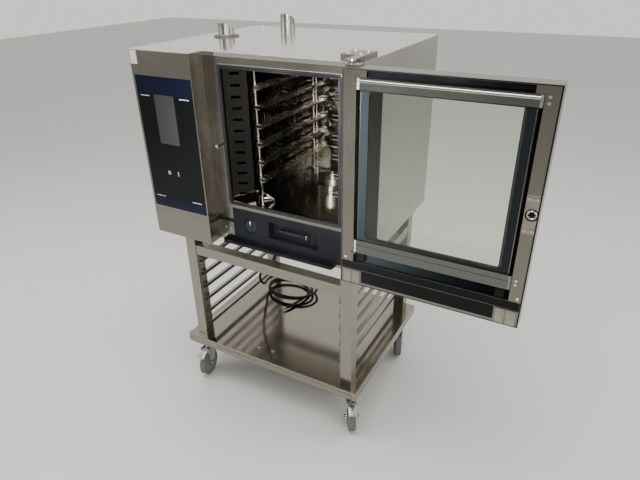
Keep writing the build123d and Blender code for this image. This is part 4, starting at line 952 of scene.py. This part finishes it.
def make_inside_details():
    """Pressed beads on the liner's right wall, and near-black sleeves on the left rack's front post, painted
    shade where the runners' ends meet it.
    """
    low, high = corners("cavity_liner")
    x1 = high.x - 2 * MM
    bm = bmesh.new()
    for height in BEAD_HEIGHTS:
        z = OVEN_Z + height * MM
        low_corner = (x1 - 1.2 * MM, low.y + 60 * MM, z)
        high_corner = (x1 + 0.2 * MM, high.y - 40 * MM, z + 14 * MM)
        add_block(bm, low_corner, high_corner, 0.001)
    from_bmesh("liner_beads", bm, "liner", OVEN, True)
    rack_low, _ = corners("left_rack")
    bm = bmesh.new()
    for level in range(RACK_LEVELS):
        z = OVEN_Z + (LOWEST_RUNNER_END + RUNNER_END_PITCH * level) * MM
        add_lathe(bm, Vector((rack_low.x + 5 * MM, HOUSING_LOW.y + 169 * MM, z - 9 * MM)), (0, 0, 1),
                  [(5.1, 0), (6.8, 1), (6.8, 17), (5.1, 18), (5.1, 0)], 20)
    # The sleeves take the near-black steel: painted shade at the runners' ends.
    shade_sleeves = from_bmesh("rack_post_painted_shade", bm, "suction", OVEN, True)
    soften(shade_sleeves, 40)


make_screws()
make_corner_plate()
make_collar_lip()
make_knob_details()
make_drawer_details()
make_inside_details()


# ---- castors ----
HUB_PROFILE = [
    (18.4, 9.0),
    (18.6, 14.2),
    (22, 13.2),
    (30, 11.2),
    (38, 11.4),
    (43, 13.4),
    (45.6, 13.6),
    (45.8, 9.8),
    (18.4, 9.0),
]
NUT_PROFILE = [(5, 26.4), (8.6, 26.4), (8.6, 30.0), (6.2, 31.0), (4.6, 31.0), (4.2, 33.4), (1, 34)]
RACE_PROFILE = [(27, -3.5), (29.6, -2.6), (29.6, -0.8), (27, -0.5), (27, -3.5)]


def make_castor(name):
    """Hub caps, axle nuts and bearing rings for one castor."""
    wheel = JOINTS[f"roll_{name}"]
    swivel = JOINTS[f"swivel_{name}"]
    centre = Vector(wheel["pos_m"])
    axis = Vector(wheel["axis"])
    body = f"wheel_{name}"
    fork = f"swivel_{name}"
    for side, way in enumerate((1, -1)):
        lathe_piece(f"hub_{name}_{side}", centre, axis * way, HUB_PROFILE, "hub", body, 48)
        lathe_piece(f"axle_nut_{name}_{side}", centre, axis * way, NUT_PROFILE, "zinc", fork, 6)
    plate_z = corners("castor_plates")[0].z
    pivot = Vector((swivel["pos_m"][0], swivel["pos_m"][1], plate_z))
    lathe_piece(f"race_{name}", pivot, (0, 0, 1), RACE_PROFILE, "zinc", fork, 44)


def make_pedal_ribs(name):
    """Grip ribs across a brake pedal's tread."""
    joint = JOINTS[f"brake_{name}"]
    pivot = Vector(joint["pos_m"])
    across = Vector(joint["axis"])
    along = across.cross(Vector((0, 0, 1)))
    slope = (along * 34 - Vector((0, 0, 18))).normalized()
    normal = slope.cross(across) * -1
    if normal.z < 0:
        normal = -normal
    basis = Matrix((slope, across, normal)).transposed().to_4x4()
    start = pivot + (along * 14 + Vector((0, 0, 3.2))) * MM
    place = Matrix.Translation(start) @ basis
    bm = bmesh.new()
    for rib in range(5):
        s = (4 + rib * 6.5) * MM
        add_block(bm, (s, -15 * MM, -0.6 * MM), (s + 2.4 * MM, 15 * MM, 1.1 * MM), 0.0005, place)
    from_bmesh(f"pedal_ribs_{name}", bm, "chrome", f"pedal_{name}", True)


for castor in ("front_left", "front_right", "rear_left", "rear_right"):
    make_castor(castor)
    if castor.startswith("front"):
        make_pedal_ribs(castor)


# ---- stage ----
ROOM_FRONT = 0.16
ROOM_BACK = 0.95
ROOM_CEILING = 0.35
FLOOR_HALF = 14


def make_floor():
    mesh = bpy.data.meshes.new("floor")
    spots = [(x * FLOOR_HALF, y * FLOOR_HALF, 0) for x, y in ((-1, -1), (1, -1), (1, 1), (-1, 1))]
    mesh.from_pydata(spots, [], [(0, 1, 2, 3)])
    shader = Shader("pale_floor", Roughness=0.6)
    shader.color(shader.mix(shader.noise(1.6, 5.0), (0.60, 0.60, 0.585), (0.66, 0.66, 0.645)))
    mesh.materials.append(shader.material)
    floor = bpy.data.objects.new("floor", mesh)
    bpy.context.scene.collection.objects.link(floor)


def make_lamp(name, place, target, size, power, tone=(1, 1, 1), spread=180):
    data = bpy.data.lights.new(name, "AREA")
    data.spread = math.radians(spread)
    data.shape = "RECTANGLE"
    data.size, data.size_y = size
    data.energy = power
    data.color = tone
    lamp = bpy.data.objects.new(name, data)
    bpy.context.scene.collection.objects.link(lamp)
    lamp.location = place
    lamp.rotation_euler = (Vector(target) - Vector(place)).to_track_quat("-Z", "Y").to_euler()


def make_world():
    """A pale room behind the oven and a dimmer one in front of it, brighter overhead."""
    world = bpy.data.worlds.new("studio")
    bpy.context.scene.world = world
    world.use_nodes = True
    tree = world.node_tree
    coord = tree.nodes.new("ShaderNodeTexCoord")
    split = tree.nodes.new("ShaderNodeSeparateXYZ")
    tree.links.new(coord.outputs["Generated"], split.inputs[0])
    levels = []
    for axis, start, end, low, high in (("Y", -0.5, 0.5, ROOM_FRONT, ROOM_BACK),
                                        ("Z", 0.2, 1.0, 0.0, ROOM_CEILING)):
        ramp = tree.nodes.new("ShaderNodeMapRange")
        ramp.interpolation_type = "SMOOTHSTEP"
        ramp.inputs["From Min"].default_value = start
        ramp.inputs["From Max"].default_value = end
        ramp.inputs["To Min"].default_value = low
        ramp.inputs["To Max"].default_value = high
        tree.links.new(split.outputs[axis], ramp.inputs["Value"])
        levels.append(ramp.outputs["Result"])
    total = tree.nodes.new("ShaderNodeMath")
    total.operation = "ADD"
    for index, level in enumerate(levels):
        tree.links.new(level, total.inputs[index])
    background = tree.nodes["Background"]
    background.inputs["Color"].default_value = (1.0, 0.99, 0.95, 1)
    tree.links.new(total.outputs[0], background.inputs["Strength"])


make_floor()
make_world()
make_lamp("overhead", (-0.4, -0.7, 3.6), (0, 0, 0.8), (2.6, 2.0), 105, (1, 0.985, 0.95))
make_lamp("left_fill", (-3.4, -2.0, 2.4), (0, 0, 0.9), (2.4, 2.0), 60, (1, 0.99, 0.96))
make_lamp("right_back", (3.2, 1.8, 2.6), (0.4, 0, 1.0), (2.2, 1.8), 45, (1, 0.98, 0.95))
make_lamp("right_front", (3.0, -2.0, 2.1), (-0.2, 0, 1.1), (1.6, 1.4), 34, (1, 0.985, 0.95))
CAVITY_LOW, CAVITY_HIGH = corners("cavity_liner")
CAVITY_MIDDLE = (CAVITY_LOW + CAVITY_HIGH) / 2
make_lamp("cavity_fill", (0.75, -2.1, 1.9), CAVITY_MIDDLE, (0.25, 0.25), 11, (1, 0.97, 0.92), 30)
LAMP_PLACE = Vector((CAVITY_MIDDLE.x + 0.12, CAVITY_LOW.y + 0.03, CAVITY_HIGH.z - 0.03))
LAMP_TARGET = CAVITY_MIDDLE + Vector((-0.15, 0.05, -0.1))
make_lamp("cavity_lamp", LAMP_PLACE, LAMP_TARGET, (0.30, 0.02), 0.9, (1, 0.95, 0.86))
